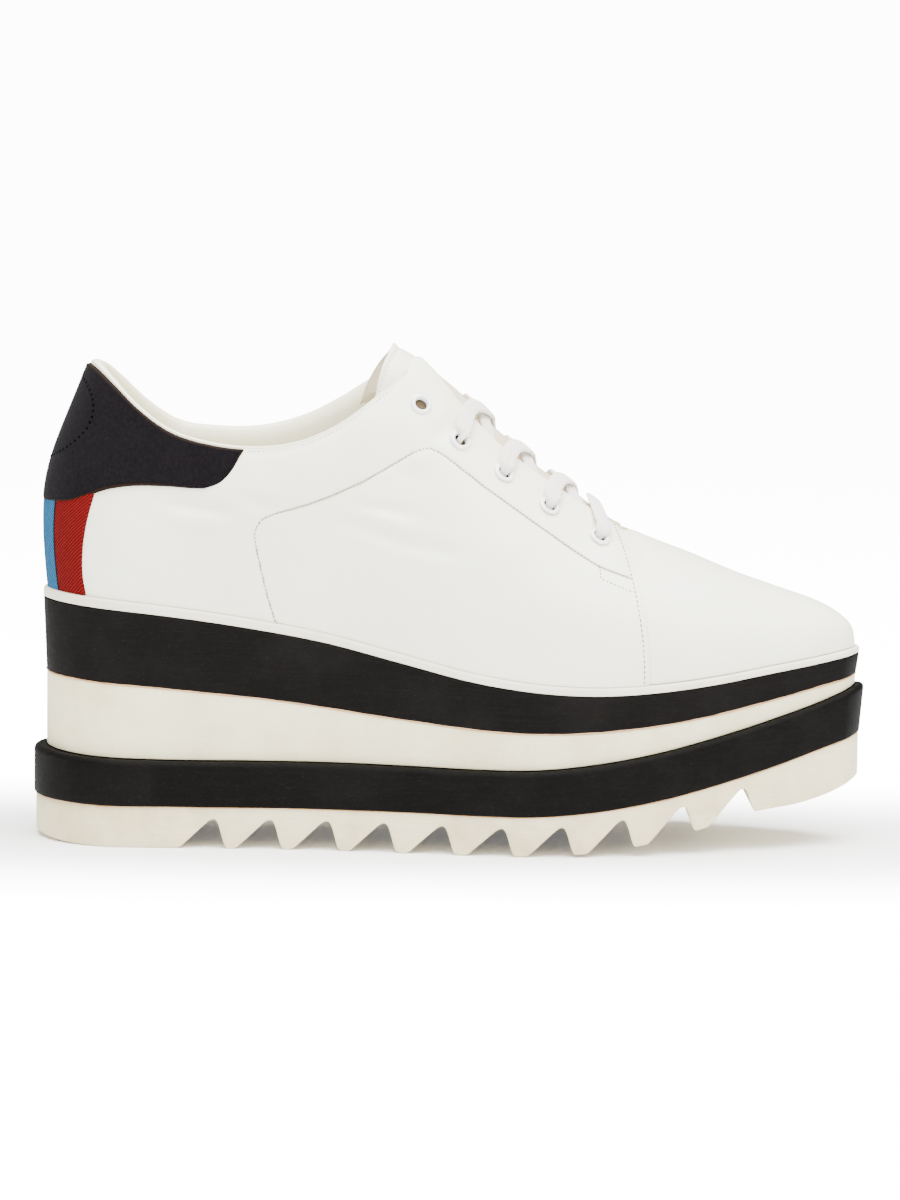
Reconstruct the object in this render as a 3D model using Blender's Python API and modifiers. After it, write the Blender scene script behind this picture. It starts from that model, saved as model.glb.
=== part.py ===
"""Wedge sneaker, right shoe, built as a shoemaker lays it up: layered sole, hollow upper and trims.

Run with: blender --background --python part.py

Everything is worked out in millimetres on the shoe's own stations: the station runs along the
sole from the back of the heel (0) to the tip of the toe (LENGTH), and y is the distance from
the heel-to-toe line, negative on the outer (lateral) side.  The last step turns a point into
metres and sets the origin on the floor under the middle of the sole's box.
"""
from collections import namedtuple
from math import acos, cos, pi, radians, sin, sqrt

import bmesh
import bpy
import numpy as np

# ---------------------------------------------------------------- driving sizes, millimetres
LENGTH = 283.0                # widest layer of the sole, heel to toe
HEEL_ROUND = 34.0             # length over which the heel's plan closes round
TOE_ROUND = 7.0               # the same at the pointed toe
HEEL_TURN, TOE_TURN = 10, 18  # degrees between the columns that close the two ends
COLUMN_STEP = 10.2            # spacing of the columns along the middle of the sole
TOE_RUNS = (36, 26, 17, 9, 3) # distances of the last columns before the toe's round
GAP = 0.3                     # clearance between neighbouring pieces
OVERLAY_GAP = 0.4             # the same under the trims laid over the upper
FEATHER_GAP = 0.55            # the upper's outer edge over the welt; its inner edge hangs lower
WALL = 2.0                    # thickness of the upper
MM = 0.001
MERGE = 0.001 * MM            # points closer than this are one
HALVINGS = 30                 # steps of each search by halving

Halves = namedtuple("Halves", "station lateral medial")
OUTLINE = (                   # half-widths of the widest layer before its ends are rounded
    Halves(0, 34.0, 34.0),
    Halves(20, 35.2, 35.0),
    Halves(45, 36.0, 35.0),
    Halves(75, 36.4, 33.2),
    Halves(100, 38.2, 32.4),
    Halves(130, 43.2, 34.4),
    Halves(155, 47.6, 39.6),
    Halves(176, 49.0, 44.2),
    Halves(196, 47.4, 46.2),
    Halves(216, 42.8, 44.0),
    Halves(236, 35.4, 37.6),
    Halves(254, 27.2, 29.2),
    Halves(268, 19.8, 21.2),
    Halves(276, 14.6, 15.4),
    Halves(283, 9.6, 10.0),
)

Heights = namedtuple("Heights", "station tread band white black")
LEVELS = (                    # height over the floor of the top of each layer
    Heights(0, 14.7, 31.6, 57.0, 82.0),
    Heights(12, 14.2, 30.5, 55.7, 80.9),
    Heights(30, 13.9, 29.7, 54.4, 79.3),
    Heights(50, 13.9, 29.3, 52.8, 77.2),
    Heights(75, 13.9, 29.4, 50.6, 73.8),
    Heights(100, 13.9, 29.4, 47.7, 69.5),
    Heights(125, 13.8, 29.1, 44.5, 63.5),
    Heights(150, 13.4, 28.6, 41.8, 57.6),
    Heights(170, 13.4, 28.7, 40.8, 54.7),
    Heights(190, 15.0, 30.7, 41.3, 53.6),
    Heights(210, 18.3, 34.1, 43.3, 54.5),
    Heights(230, 22.8, 38.8, 46.4, 56.7),
    Heights(250, 28.3, 44.3, 50.8, 59.9),
    Heights(266, 33.2, 49.2, 54.4, 62.4),
    Heights(283, 38.4, 55.4, 58.4, 65.4),
)
WELT_THICK = ((0, 3.1), (140, 2.7), (283, 2.0))

# insets from the widest layer, at the heel and at the toe
TREAD_INSET = (0.7, 1.6)
BAND_FOOT_INSET = (0.0, 1.2)
WHITE_INSET = (4.3, 3.0)
BLACK_FOOT_INSET = (4.2, 2.7)
BLACK_TOP_INSET = (3.2, 1.8)
WELT_INSET = (3.1, 1.7)
UPPER_INSET = (5.9, 3.2)
BAND_LIP = 2.2                # radius of the band's soft upper edge
FOAM_LIP = 0.5

# tread: a flat heel block, then saw-tooth lugs that follow the toe spring
GROUND = ((0, 2.2), (8, 0.9), (16, 0.25), (24, 0.0), (95, 0.0), (140, 0.0), (170, 0.0),
          (187, 1.1), (207, 3.9), (227, 8.8), (244, 13.4), (261, 15.8), (271, 18.5),
          (279, 21.9), (283, 23.8))
FLAT_FROM, FLAT_TO = 24.0, 170.0
LUG_COUNT = 10
LUG_FIRST = 67.0              # station of the first lug's steep face
LUG_PITCH = 19.65
LUG_FLAT = 4.4                # tip of a lug
LUG_FACE = 2.8                # run of the steep face
LUG_ROOF = 4.7                # rubber left over a notch
LUG_ROUND = 1.1               # half-width of a notch's rounded roof
LUG_SHOULDER = 0.93           # share of a notch's depth where the roof begins to round
LUG_CREST = 0.88              # the same where the steep face begins
LUG_MARGIN = 2.0              # kept clear of the sole's own columns before and after the lugs

# upper: a rib climbs from the feather line to the collar's rim
Collar = namedtuple("Collar", "foot rim_s rim_y rim_z rise lean pull tuck hold")
COLLAR = (                    # rise: how much higher the inner side's rim is; lean, tuck: degrees
    Collar(0.0, 19.9, 0.0, 161.0, 0.0, 6, 40, 21, 38),
    Collar(1.6, 20.8, 6.4, 160.9, 0.0, 6, 40, 20, 37),
    Collar(6.0, 23.5, 12.1, 159.2, 0.0, 7, 37, 18, 35),
    Collar(14, 28.5, 17.5, 154.6, 0.0, 8, 33, 15, 31),
    Collar(26, 36.3, 22.1, 147.0, 0.0, 9, 28, 13, 27),
    Collar(42, 47.0, 25.8, 139.4, 0.5, 10, 23, 12, 22),
    Collar(60, 60.5, 28.2, 135.1, 2.6, 10, 20, 11, 20),
    Collar(77, 76.0, 29.0, 133.6, 4.4, 10, 20, 11, 20),
    Collar(92, 90.0, 28.8, 135.4, 6.2, 10, 22, 12, 21),
    Collar(106, 103, 27.4, 140.9, 7.2, 9, 27, 14, 22),
    Collar(119, 115.5, 24.6, 150.0, 6.0, 8, 34, 20, 24),
    Collar(128, 124.6, 19.0, 157.4, 2.8, 8, 37, 30, 22),
)

# from the throat's corner forward every rib is half an arch up to the crest over the middle
Arch = namedtuple("Arch", "foot crest_s crest_z gap lean pull spread step")
ARCHES = (                    # gap: half-width of the throat; step: quarter's edge over the vamp
    Arch(134, 131.0, 167.4, 10.6, 8, 38, 24.5, 1),
    Arch(140, 136.5, 161.2, 10.0, 8, 37, 24.0, 1),
    Arch(148, 144.0, 152.8, 9.2, 9, 36, 23.5, 1),
    Arch(160, 155.5, 140.9, 8.3, 9, 34, 22.5, 1),
    Arch(173, 168.0, 129.7, 7.6, 10, 30, 22.0, 1),
    Arch(186, 179.5, 121.5, 7.0, 10, 27, 21.0, 1),
    Arch(199, 189.5, 114.3, 6.6, 11, 24, 21.0, 1),
    Arch(209.5, 196.0, 109.6, 6.2, 12, 21, 22.0, 1),
    Arch(210.5, 197.6, 108.5, 5.4, 12, 21, 22.0, 0),
    Arch(212.0, 199.6, 107.3, 3.6, 12, 20.5, 22.2, 0),
    Arch(214.5, 202.2, 106.0, 0.0, 12, 20, 22.4, 0),
    Arch(224, 213.0, 101.9, 0.0, 12, 18, 22.5, 0),
    Arch(237, 227.0, 96.6, 0.0, 11, 15, 20.5, 0),
    Arch(250, 241.0, 91.0, 0.0, 10, 12, 17.5, 0),
    Arch(262, 254.0, 86.6, 0.0, 8, 9.5, 14.5, 0),
    Arch(272, 264.0, 83.2, 0.0, 5, 8, 11.5, 0),
    Arch(279, 270.0, 80.6, 0.0, 1, 7, 8.5, 0),
    Arch(282.2, 273.0, 78.8, 0.0, -3, 6.5, 6.0, 0),
    Arch(283, 274.4, 77.8, 0.0, -5, 6.0, 4.2, 0),
)
QUARTER_STEP = 0.8            # how far the quarters stand proud of the vamp
COLUMN_RUN = 8.0              # widest column of faces
RIB_FACES = 8                 # faces up a rib

# heel counter and ribbon: a lower edge as (station, height), front edges as (height, station)
COUNTER_EDGE = ((0, 115.6), (8, 115.6), (15, 116.2), (21, 118.6), (26, 120.4), (34, 121.3),
                (46, 121.1), (56, 120.5), (70, 121.0))                       # station, height
COUNTER_FRONT = ((110, 61.0), (121, 61.5), (124.4, 66.2), (128.4, 69.0), (134, 71.4))
COUNTER_THICK = 1.0
COUNTER_ROWS = (3, 8)         # rows of the upper's faces that it spans
COUNTER_SHARES = (0.93, 0.995)    # highest start and the end of its ribs
RIBBON_EDGE = ((82, 20.6), (91, 19.0), (99, 19.0), (109, 20.6), (118, 22.9))
RIBBON_THICK = 0.6
RIBBON_ROWS = (0, 4)
RIBBON_FOOT = 0.012           # share of the rib left free over the welt

# tongue: arcs across its crest
Flap = namedtuple("Flap", "crest_s crest_z radius half_angle")
TONGUE = (
    Flap(205.0, 101.6, 24.0, 30),
    Flap(198.0, 104.2, 20.0, 40),
    Flap(189.0, 110.2, 17.6, 50),
    Flap(179.0, 117.6, 17.0, 56),
    Flap(167.5, 125.8, 16.8, 60),
    Flap(155.0, 136.9, 16.8, 64),
    Flap(144.0, 148.2, 16.6, 69),
    Flap(137.0, 156.0, 16.3, 74),
    Flap(130.6, 162.4, 16.0, 80),
    Flap(125.6, 166.2, 15.8, 85),
    Flap(121.8, 168.8, 15.6, 86),
)
TONGUE_THICK = 2.6
TONGUE_FACES = 12

INSOLE_THICK = 3.0
INSOLE_CLEAR = 3.2            # from the feather line to the insole's edge

# eyelets, from the top pair down to the foot of the throat
Eyelet = namedtuple("Eyelet", "station height")
EYELETS = (
    Eyelet(131.0, 148.3),
    Eyelet(144.1, 136.5),
    Eyelet(158.8, 125.6),
    Eyelet(174.2, 114.6),
    Eyelet(191.1, 104.4),
)
EYELET_RADIUS = 3.75
EYELET_HOLE = 2.1
EYELET_BARREL = 2.7
EYELET_HEAD = 0.8
EYELET_SHANK = 2.4            # radius of the barrel inside its hole in the leather
EYELET_BEVEL = 0.4            # the head's rounded outer edge
EYELET_FUNNEL = 0.5           # width of the head's flared mouth
EYELET_SIDES = 12
PUNCH_OVER = 2.0              # the punch's length past each face of the leather

# lace
LACE_WIDTH = 7.0
LACE_THICK = 1.3
LACE_LIFT = 0.45              # under side of the lace over the leather
LACE_OVERRUN = 4.2            # how far a strap runs past the middle
LACE_NARROW = 0.6             # its width by the eyelet against its full width
LACE_FACES = 7
BAR_AHEAD = LACE_WIDTH / 6    # the bar lies this far before the middle of its eyelets
THROAT_FOOT = 212.0           # foot of the last arch over the throat
THROAT_SHARE = 0.4            # share of an arch below which the lace never lies

COLOURS = {                   # base colour, roughness
    "outsole_tread": ((0.78, 0.74, 0.66), 0.75),
    "outsole_band": ((0.030, 0.030, 0.032), 0.65),
    "midsole_white": ((0.84, 0.81, 0.75), 0.7),
    "midsole_black": ((0.034, 0.034, 0.036), 0.65),
    "welt": ((0.88, 0.86, 0.80), 0.6),
    "upper": ((0.90, 0.89, 0.86), 0.45),
    "heel_counter": ((0.035, 0.033, 0.038), 0.9),
    "heel_ribbon": ((0.45, 0.03, 0.04), 0.8),
    "tongue": ((0.90, 0.88, 0.83), 0.5),
    "insole": ((0.80, 0.75, 0.64), 0.7),
    "eyelet": ((0.86, 0.87, 0.88), 0.3),
    "lace": ((0.90, 0.90, 0.88), 0.85),
}

LATERAL, MEDIAL = -1, 1
SIDES = (LATERAL, MEDIAL)


# ---------------------------------------------------------------- curves through short tables
def smooth(stations, values, at):
    """Smooth curve through the values (numbers or points), read at one station."""
    last = len(stations) - 1
    at = min(max(at, stations[0]), stations[last])
    i = 0
    while i < last - 1 and stations[i + 1] <= at:
        i += 1

    def slope(k):
        low, high = max(k - 1, 0), min(k + 1, last)
        if low == k or high == k:
            return (values[high] - values[low]) / (stations[high] - stations[low])
        before = (values[k] - values[low]) / (stations[k] - stations[low])
        after = (values[high] - values[k]) / (stations[high] - stations[k])
        share = (stations[k] - stations[low]) / (stations[high] - stations[low])
        return before * (1 - share) + after * share

    run = stations[i + 1] - stations[i]
    u = (at - stations[i]) / run
    return (values[i] * (1 - u) ** 2 * (1 + 2 * u) + values[i + 1] * u * u * (3 - 2 * u)
            + (slope(i) * u * (1 - u) ** 2 - slope(i + 1) * u * u * (1 - u)) * run)


def column(table, name, at):
    """Smooth value of one named column of a table."""
    return smooth([row.station for row in table], [getattr(row, name) for row in table], at)


def pairs(table, at):
    """Smooth value of a table of (station, value) pairs."""
    return smooth([row[0] for row in table], [row[1] for row in table], at)


def blend(ends, station):
    """Value that runs straight from the heel's to the toe's."""
    return ends[0] + (ends[1] - ends[0]) * station / LENGTH


# ---------------------------------------------------------------- plan of the sole
def turn_of(station):
    """Parameter of the outline, 0 at the heel's back and 1 at the toe's tip."""
    return acos(1 - 2 * min(max(station / LENGTH, 0.0), 1.0)) / pi


def plan_point(side, turn):
    """Point of the widest outline, with y counted positive on both sides."""
    station = LENGTH * (1 - cos(pi * turn)) / 2
    half = column(OUTLINE, "lateral" if side == LATERAL else "medial", station)
    if station < HEEL_ROUND:
        half *= sqrt(max(1 - (1 - station / HEEL_ROUND) ** 2, 0.0))
    if station > LENGTH - TOE_ROUND:
        half *= sqrt(max(1 - (1 - (LENGTH - station) / TOE_ROUND) ** 2, 0.0))
    return np.array((station, half))


def plan_normal(side, turn):
    """Outward normal of the outline in plan."""
    step = 0.002
    low, high = max(turn - step, 0.0), min(turn + step, 1.0)
    along = plan_point(side, high) - plan_point(side, low)
    if turn <= 0.0:
        along = np.array((0.0, 1.0))
    if turn >= 1.0:
        along = np.array((0.0, -1.0))
    along = along / np.hypot(*along)
    return np.array((-along[1], along[0]))


def plan(side, station, inset):
    """Outline moved inward, as (station, signed y)."""
    turn = turn_of(station)
    point = plan_point(side, turn) - plan_normal(side, turn) * inset
    return np.array((point[0], side * max(point[1], 0.0)))


def plan_stations():
    """Stations of the sole's columns: close round the heel and the toe."""
    heel = [HEEL_ROUND * (1 - cos(radians(a))) for a in range(0, 90, HEEL_TURN)]
    toe = [LENGTH - TOE_ROUND * (1 - cos(radians(a))) for a in range(70, -1, -TOE_TURN)]
    flank = [LENGTH - TOE_ROUND - d for d in TOE_RUNS]
    middle = list(np.arange(HEEL_ROUND + 4.0, flank[0] - 4.0, COLUMN_STEP))
    return heel + middle + flank + toe + [LENGTH]


def level(name):
    """Height curve of one layer's top."""
    return lambda s: column(LEVELS, name, s)


def welt_top(station):
    return level("black")(station) + pairs(WELT_THICK, station)


# ---------------------------------------------------------------- mesh building
def shift_y():
    """Middle of the sole's box across."""
    reach = [max(column(OUTLINE, name, s) for s in np.arange(150.0, 220.0, 0.5))
             for name in ("lateral", "medial")]
    return (reach[1] - reach[0]) / 2


SHIFT_Y = shift_y()


def world(point):
    """Shoe millimetres to metres about the middle of the floor print."""
    return ((point[0] - LENGTH / 2) * MM, (point[1] - SHIFT_Y) * MM, point[2] * MM)


def material_for(name):
    """Principled material with the piece's colour."""
    colour, rough = COLOURS[name]
    material = bpy.data.materials.get(name) or bpy.data.materials.new(name)
    material.use_nodes = True
    shader = material.node_tree.nodes["Principled BSDF"]
    shader.inputs["Base Color"].default_value = (*colour, 1.0)
    shader.inputs["Roughness"].default_value = rough
    material.diffuse_color = (*colour, 1.0)
    return material


def new_object(name, rings, faces, collection, colour=None):
    """Mesh object from points in shoe millimetres; doubles are merged."""
    mesh = bpy.data.meshes.new(name)
    mesh.from_pydata([world(p) for p in rings], [], faces)
    build = bmesh.new()
    build.from_mesh(mesh)
    bmesh.ops.remove_doubles(build, verts=build.verts, dist=MERGE)
    bmesh.ops.dissolve_degenerate(build, edges=build.edges, dist=MERGE)
    build.to_mesh(mesh)
    build.free()
    mesh.shade_smooth()
    mesh.set_sharp_from_angle(angle=radians(35))
    item = bpy.data.objects.new(name, mesh)
    collection.objects.link(item)
    if colour:
        mesh.materials.append(material_for(colour))
    return item


def closed_loft(name, rings, collection, colour):
    """Solid through closed rings of equal count; each end is closed with strips across.

    A ring lists its lateral points from heel to toe and then its medial ones back, without
    repeating the two end points, so point i faces point -i.
    """
    count = len(rings[0])
    points = [p for ring in rings for p in ring]
    faces = []
    for k in range(len(rings) - 1):
        for i in range(count):
            j = (i + 1) % count
            faces.append((k * count + i, k * count + j, (k + 1) * count + j, (k + 1) * count + i))
    for base, flip in ((0, True), ((len(rings) - 1) * count, False)):
        for i in range(count // 2):
            strip = (base + i, base + i + 1, base + (count - i - 1) % count, base + (count - i) % count)
            strip = tuple(dict.fromkeys(strip))
            if len(strip) > 2:
                faces.append(strip[::-1] if flip else strip)
    return new_object(name, points, faces, collection, colour)


def ring_at(stations, inset, height, drop=0.0):
    """Closed ring of the sole at a given inset; the height is read at each point's own station."""
    def point(side, s):
        x, y = plan(side, s, blend(inset, s))
        return np.array((x, y, height(x) - drop))

    lateral = [point(LATERAL, s) for s in stations]
    medial = [point(MEDIAL, s) for s in stations]
    return lateral + medial[-2:0:-1]


def add_inset(inset, more):
    return (inset[0] + more, inset[1] + more)


# ---------------------------------------------------------------- sole
def lug_stations():
    """Stations and depths of the saw-tooth underside: (station, share of the full notch)."""
    marks = []
    for k in range(LUG_COUNT):
        face = LUG_FIRST + k * LUG_PITCH
        peak = face - LUG_FACE
        start, end = face - LUG_PITCH + LUG_FLAT, peak - LUG_ROUND
        marks.append((start, 0.0))
        marks.append(((start + end) / 2, LUG_SHOULDER / 2))
        marks.append((end, LUG_SHOULDER))
        marks.append((peak, 1.0))
        marks.append((peak + LUG_ROUND * 0.7, LUG_CREST))
        marks.append((face, 0.0))
    return marks


def underside(station, share):
    """Height of the underside, raised into a notch by its share of the depth."""
    ground = 0.0 if FLAT_FROM <= station <= FLAT_TO else max(pairs(GROUND, station), 0.0)
    roof = level("tread")(station) - LUG_ROOF
    return ground + (roof - ground) * share


def build_tread(collection):
    """Cream rubber tread: heel block, saw-tooth lugs and toe block in one piece."""
    marks = dict(lug_stations())
    first, last = min(marks), max(marks)
    for s in plan_stations():
        if s < first - LUG_MARGIN or s > last + LUG_MARGIN:
            marks[s] = 0.0
    marks[FLAT_FROM] = 0.0
    stations = sorted(marks)
    shares = [marks[s] for s in stations]

    def ring(inset, heights):
        def point(side, k):
            x, y = plan(side, stations[k], blend(inset, stations[k]))
            if first - LUG_MARGIN < stations[k] < last + LUG_MARGIN:
                x = stations[k]
            return np.array((x, y, heights(x, shares[k])))

        lateral = [point(LATERAL, k) for k in range(len(stations))]
        medial = [point(MEDIAL, k) for k in range(len(stations))]
        return lateral + medial[-2:0:-1]

    bottom = ring(TREAD_INSET, underside)
    top = ring(TREAD_INSET, lambda x, share: level("tread")(x) - GAP)
    return closed_loft("outsole_tread", [bottom, top], collection, "outsole_tread")


def build_layer(name, collection, foot, top, foot_inset, top_inset, lip):
    """One layer of the sole between two height curves, with a rounded upper edge."""
    stations = plan_stations()
    rings = [ring_at(stations, foot_inset, foot)]
    turns = (0, 90) if lip < 1.0 else (0, 30, 60, 90)
    for a in turns:
        inset = add_inset(top_inset, lip * (1 - cos(radians(a))))
        rings.append(ring_at(stations, inset, top, drop=GAP + lip * (1 - sin(radians(a)))))
    return closed_loft(name, rings, collection, name)


# ---------------------------------------------------------------- upper: ribs and their surface
def bezier(points, v):
    """Point of a cubic Bezier curve."""
    a, b, c, d = points
    w = 1 - v
    return a * w ** 3 + b * 3 * v * w * w + c * 3 * v * v * w + d * v ** 3


def lower_part(points, v):
    """Control points of the curve's part from 0 to v."""
    a, b, c, d = points
    ab, bc, cd = a + (b - a) * v, b + (c - b) * v, c + (d - c) * v
    abc, bcd = ab + (bc - ab) * v, bc + (cd - bc) * v
    return np.array((a, ab, abc, abc + (bcd - abc) * v))


def feather(side, foot, lean, pull):
    """First two control points of a rib: on the feather line, and leaning out over it."""
    turn = turn_of(foot)
    x, y = plan(side, foot, blend(UPPER_INSET, foot))
    out = plan_normal(side, turn) * (1, side)
    start = np.array((x, y, welt_top(x) + FEATHER_GAP))
    rise = np.array((out[0] * sin(radians(lean)), out[1] * sin(radians(lean)), cos(radians(lean))))
    return start, start + rise * pull, np.array((out[0], out[1], 0.0))


def collar_rib(side, row):
    """Control points of a rib that ends at the collar's rim."""
    start, first, out = feather(side, row.foot, row.lean, row.pull)
    height = row.rim_z + (row.rise if side == MEDIAL else 0.0)
    rim = np.array((row.rim_s, side * row.rim_y, height))
    arrive = out * -sin(radians(row.tuck)) + np.array((0.0, 0.0, cos(radians(row.tuck))))
    return np.array((start, first, rim - arrive * row.hold, rim))


def crest_slope(index):
    """Slope of the crest line at one arch."""
    low, high = ARCHES[max(index - 1, 0)], ARCHES[min(index + 1, len(ARCHES) - 1)]
    return (high.crest_z - low.crest_z) / (high.crest_s - low.crest_s)


def arch_rib(side, index):
    """Control points of a half arch from the feather line up to the crest over the middle."""
    row = ARCHES[index]
    start, first, out = feather(side, row.foot, row.lean, row.pull)
    crest = np.array((row.crest_s, 0.0, row.crest_z))
    level_out = np.array((out[0], out[1], out[0] * crest_slope(index)))
    return np.array((start, first, crest + level_out * row.spread, crest))


def throat_rib(side, index):
    """The half arch, cut where it meets the throat's edge."""
    points = arch_rib(side, index)
    gap = ARCHES[index].gap
    if gap <= 0.0:
        return points
    low, high = 0.0, 1.0
    for _ in range(HALVINGS):
        middle = (low + high) / 2
        if abs(bezier(points, middle)[1]) > gap:
            low = middle
        else:
            high = middle
    return lower_part(points, low)


class Shell:
    """Outer surface of one side of the upper, read at (place along the ribs, height up a rib)."""

    def __init__(self, side):
        self.side = side
        self.ribs = [collar_rib(side, row) for row in COLLAR]
        self.ribs += [throat_rib(side, k) for k in range(len(ARCHES))]
        self.steps = [1.0] * len(COLLAR) + [float(row.step) for row in ARCHES]
        self.places = [0.0]
        for before, after in zip(self.ribs, self.ribs[1:]):
            run = np.linalg.norm(after[0] - before[0]) + np.linalg.norm(after[3] - before[3])
            self.places.append(self.places[-1] + run / 2)
        self.end = self.places[-1]

    def rib(self, place):
        return smooth(self.places, self.ribs, place)

    def on_skin(self, place, v):
        return bezier(self.rib(place), v)

    def normal(self, place, v):
        """Outward normal; on the middle line it has no part across."""
        d = 0.01
        low, high = max(place - d, 0.0), min(place + d, self.end)
        along = self.on_skin(high, v) - self.on_skin(low, v)
        up = self.on_skin(place, min(v + d, 1.0)) - self.on_skin(place, max(v - d, 0.0))
        across = np.cross(along, up) * -self.side
        if place <= 0.0 or place >= self.end:
            across = np.array((up[2], 0.0, -up[0])) * (-1 if place <= 0.0 else 1)
        return across / max(np.linalg.norm(across), 1e-9)

    def lift(self, place):
        """The quarters lie over the vamp and stand proud of it."""
        i = max(k for k in range(len(self.places)) if self.places[k] <= place + 1e-9)
        j = min(i + 1, len(self.places) - 1)
        run = self.places[j] - self.places[i]
        u = 0.0 if run <= 0.0 else (place - self.places[i]) / run
        return QUARTER_STEP * (self.steps[i] * (1 - u) + self.steps[j] * u)

    def point(self, place, v, out=0.0):
        """Point of the finished surface, moved outward by out."""
        offset = self.lift(place) + out
        point = self.on_skin(place, v)
        if offset != 0.0:
            point = point + self.normal(place, v) * offset
        if place <= 0.0 or place >= self.end:
            point[1] = 0.0
        return point

    def find(self, station, height):
        """Place and share of the surface's point at a station and a height."""
        low, high = 0.0, self.end
        for _ in range(HALVINGS):
            middle = (low + high) / 2
            if self.on_skin(middle, self.height_on(middle, height))[0] < station:
                low = middle
            else:
                high = middle
        return low, self.height_on(low, height)

    def height_on(self, place, height):
        """Share of the rib at which it reaches a height."""
        low, high = 0.0, 1.0
        for _ in range(HALVINGS):
            middle = (low + high) / 2
            if self.on_skin(place, middle)[2] < height:
                low = middle
            else:
                high = middle
        return low


def grid_faces(columns, rows):
    """Quads of a grid stored column after column."""
    return [(c * rows + r, c * rows + r + 1, (c + 1) * rows + r + 1, (c + 1) * rows + r)
            for c in range(columns - 1) for r in range(rows - 1)]


def upper_places(shell):
    """Places of the columns: a few between one rib and the next, one at the quarter's edge."""
    places = []
    for k in range(len(shell.places) - 1):
        low, high = shell.places[k], shell.places[k + 1]
        parts = max(round((high - low) / COLUMN_RUN), 1)
        places += [low + (high - low) * j / parts for j in range(parts)]
    return places + [shell.end]


def build_upper(shells, collection):
    """Vamp and quarters as one wall, open at the collar, down the throat and underneath."""
    points, faces = [], []
    rows = RIB_FACES + 1
    for side in SIDES:
        shell = shells[side]
        base = len(points)
        places = upper_places(shell)
        for place in places:
            points += [shell.point(place, r / RIB_FACES) for r in range(rows)]
        for face in grid_faces(len(places), rows):
            face = [base + i for i in face]
            faces.append(face[::-1] if side == LATERAL else face)
    upper = new_object("upper", points, faces, collection, "upper")
    close_crest(upper)
    wall = upper.modifiers.new("wall", "SOLIDIFY")
    wall.thickness = WALL * MM
    wall.offset = -1.0
    return upper


def close_crest(upper):
    """Both halves meet on the middle line: points that lie on it are merged."""
    build = bmesh.new()
    build.from_mesh(upper.data)
    bmesh.ops.remove_doubles(build, verts=build.verts, dist=0.02 * MM)
    bmesh.ops.recalc_face_normals(build, faces=build.faces)
    top = max(build.faces, key=lambda f: f.calc_center_median().x)
    if top.normal.x < 0:
        bmesh.ops.reverse_faces(build, faces=build.faces)
    build.to_mesh(upper.data)
    build.free()


# ---------------------------------------------------------------- trims laid over the upper
def overlay(name, collection, columns, colour):
    """Closed plate between a sheet of points and the same sheet moved out."""
    rows = len(columns[0][0])
    inner = [p for column_in, _ in columns for p in column_in]
    outer = [p for _, column_out in columns for p in column_out]
    count = len(columns)
    sheet = grid_faces(count, rows)
    size = len(inner)
    faces = [f[::-1] for f in sheet] + [tuple(i + size for i in f) for f in sheet]
    rim = [c * rows for c in range(count)]
    rim += [(count - 1) * rows + r for r in range(1, rows)]
    rim += [c * rows + rows - 1 for c in range(count - 2, -1, -1)]
    rim += [r for r in range(rows - 2, 0, -1)]
    faces += [(a, b, b + size, a + size) for a, b in zip(rim, rim[1:] + rim[:1])]
    piece = new_object(name, inner + outer, faces, collection, colour)
    build = bmesh.new()
    build.from_mesh(piece.data)
    bmesh.ops.recalc_face_normals(build, faces=build.faces)
    build.to_mesh(piece.data)
    build.free()
    return piece


def heel_columns(shells, front, rows, span, thick):
    """Columns round the heel from one front edge to the other, inner and outer points.

    The columns and rows are the upper's own, so that both bend alike; the rows beyond the
    span close up into its edge.  The last column on each side follows the front edge.
    """
    first, last = rows
    columns = []
    for side in SIDES:
        shell = shells[side]
        ahead = front(shell, 0.5 * (first + last) / RIB_FACES)
        places = [p for p in upper_places(shell) if p < ahead - 1.0] + [None]
        if side == LATERAL:
            places = places[:0:-1]
        for place in places:
            low, high = span(shell, ahead if place is None else place)
            inner, outer = [], []
            for r in range(first, last + 1):
                v = min(max(r / RIB_FACES, low), high) if r > first else low
                v = high if r == last else v
                here = front(shell, v) if place is None else place
                inner.append(shell.point(here, v, OVERLAY_GAP))
                outer.append(shell.point(here, v, OVERLAY_GAP + thick))
            columns.append((inner, outer))
    return columns


def front_edge(shell, v, edge):
    """Place along the ribs where the surface crosses an edge given as (height, station)."""
    low, high = 0.0, shell.end / 2
    for _ in range(HALVINGS):
        middle = (low + high) / 2
        point = shell.on_skin(middle, v)
        if point[0] < pairs(edge, point[2]):
            low = middle
        else:
            high = middle
    return low


def build_counter(shells, collection):
    """Suede counter: from its curved lower edge up to the collar's rim."""
    top_start, end = COUNTER_SHARES

    def front(shell, v):
        return front_edge(shell, v, COUNTER_FRONT)

    def span(shell, place):
        v = 0.5
        for _ in range(6):
            v = shell.height_on(place, pairs(COUNTER_EDGE, shell.on_skin(place, v)[0]))
        return min(v, top_start), end

    columns = heel_columns(shells, front, COUNTER_ROWS, span, COUNTER_THICK)
    return overlay("heel_counter", collection, columns, "heel_counter")


def build_ribbon(shells, collection):
    """Ribbon down the back seam, from the welt to just under the counter, waisted at mid height."""
    def front(shell, v):
        return front_edge(shell, v, RIBBON_EDGE)

    def span(shell, place):
        edge = pairs(COUNTER_EDGE, shell.on_skin(place, 0.4)[0])
        return RIBBON_FOOT, shell.height_on(place, edge - GAP)

    columns = heel_columns(shells, front, RIBBON_ROWS, span, RIBBON_THICK)
    return overlay("heel_ribbon", collection, columns, "heel_ribbon")


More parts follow.
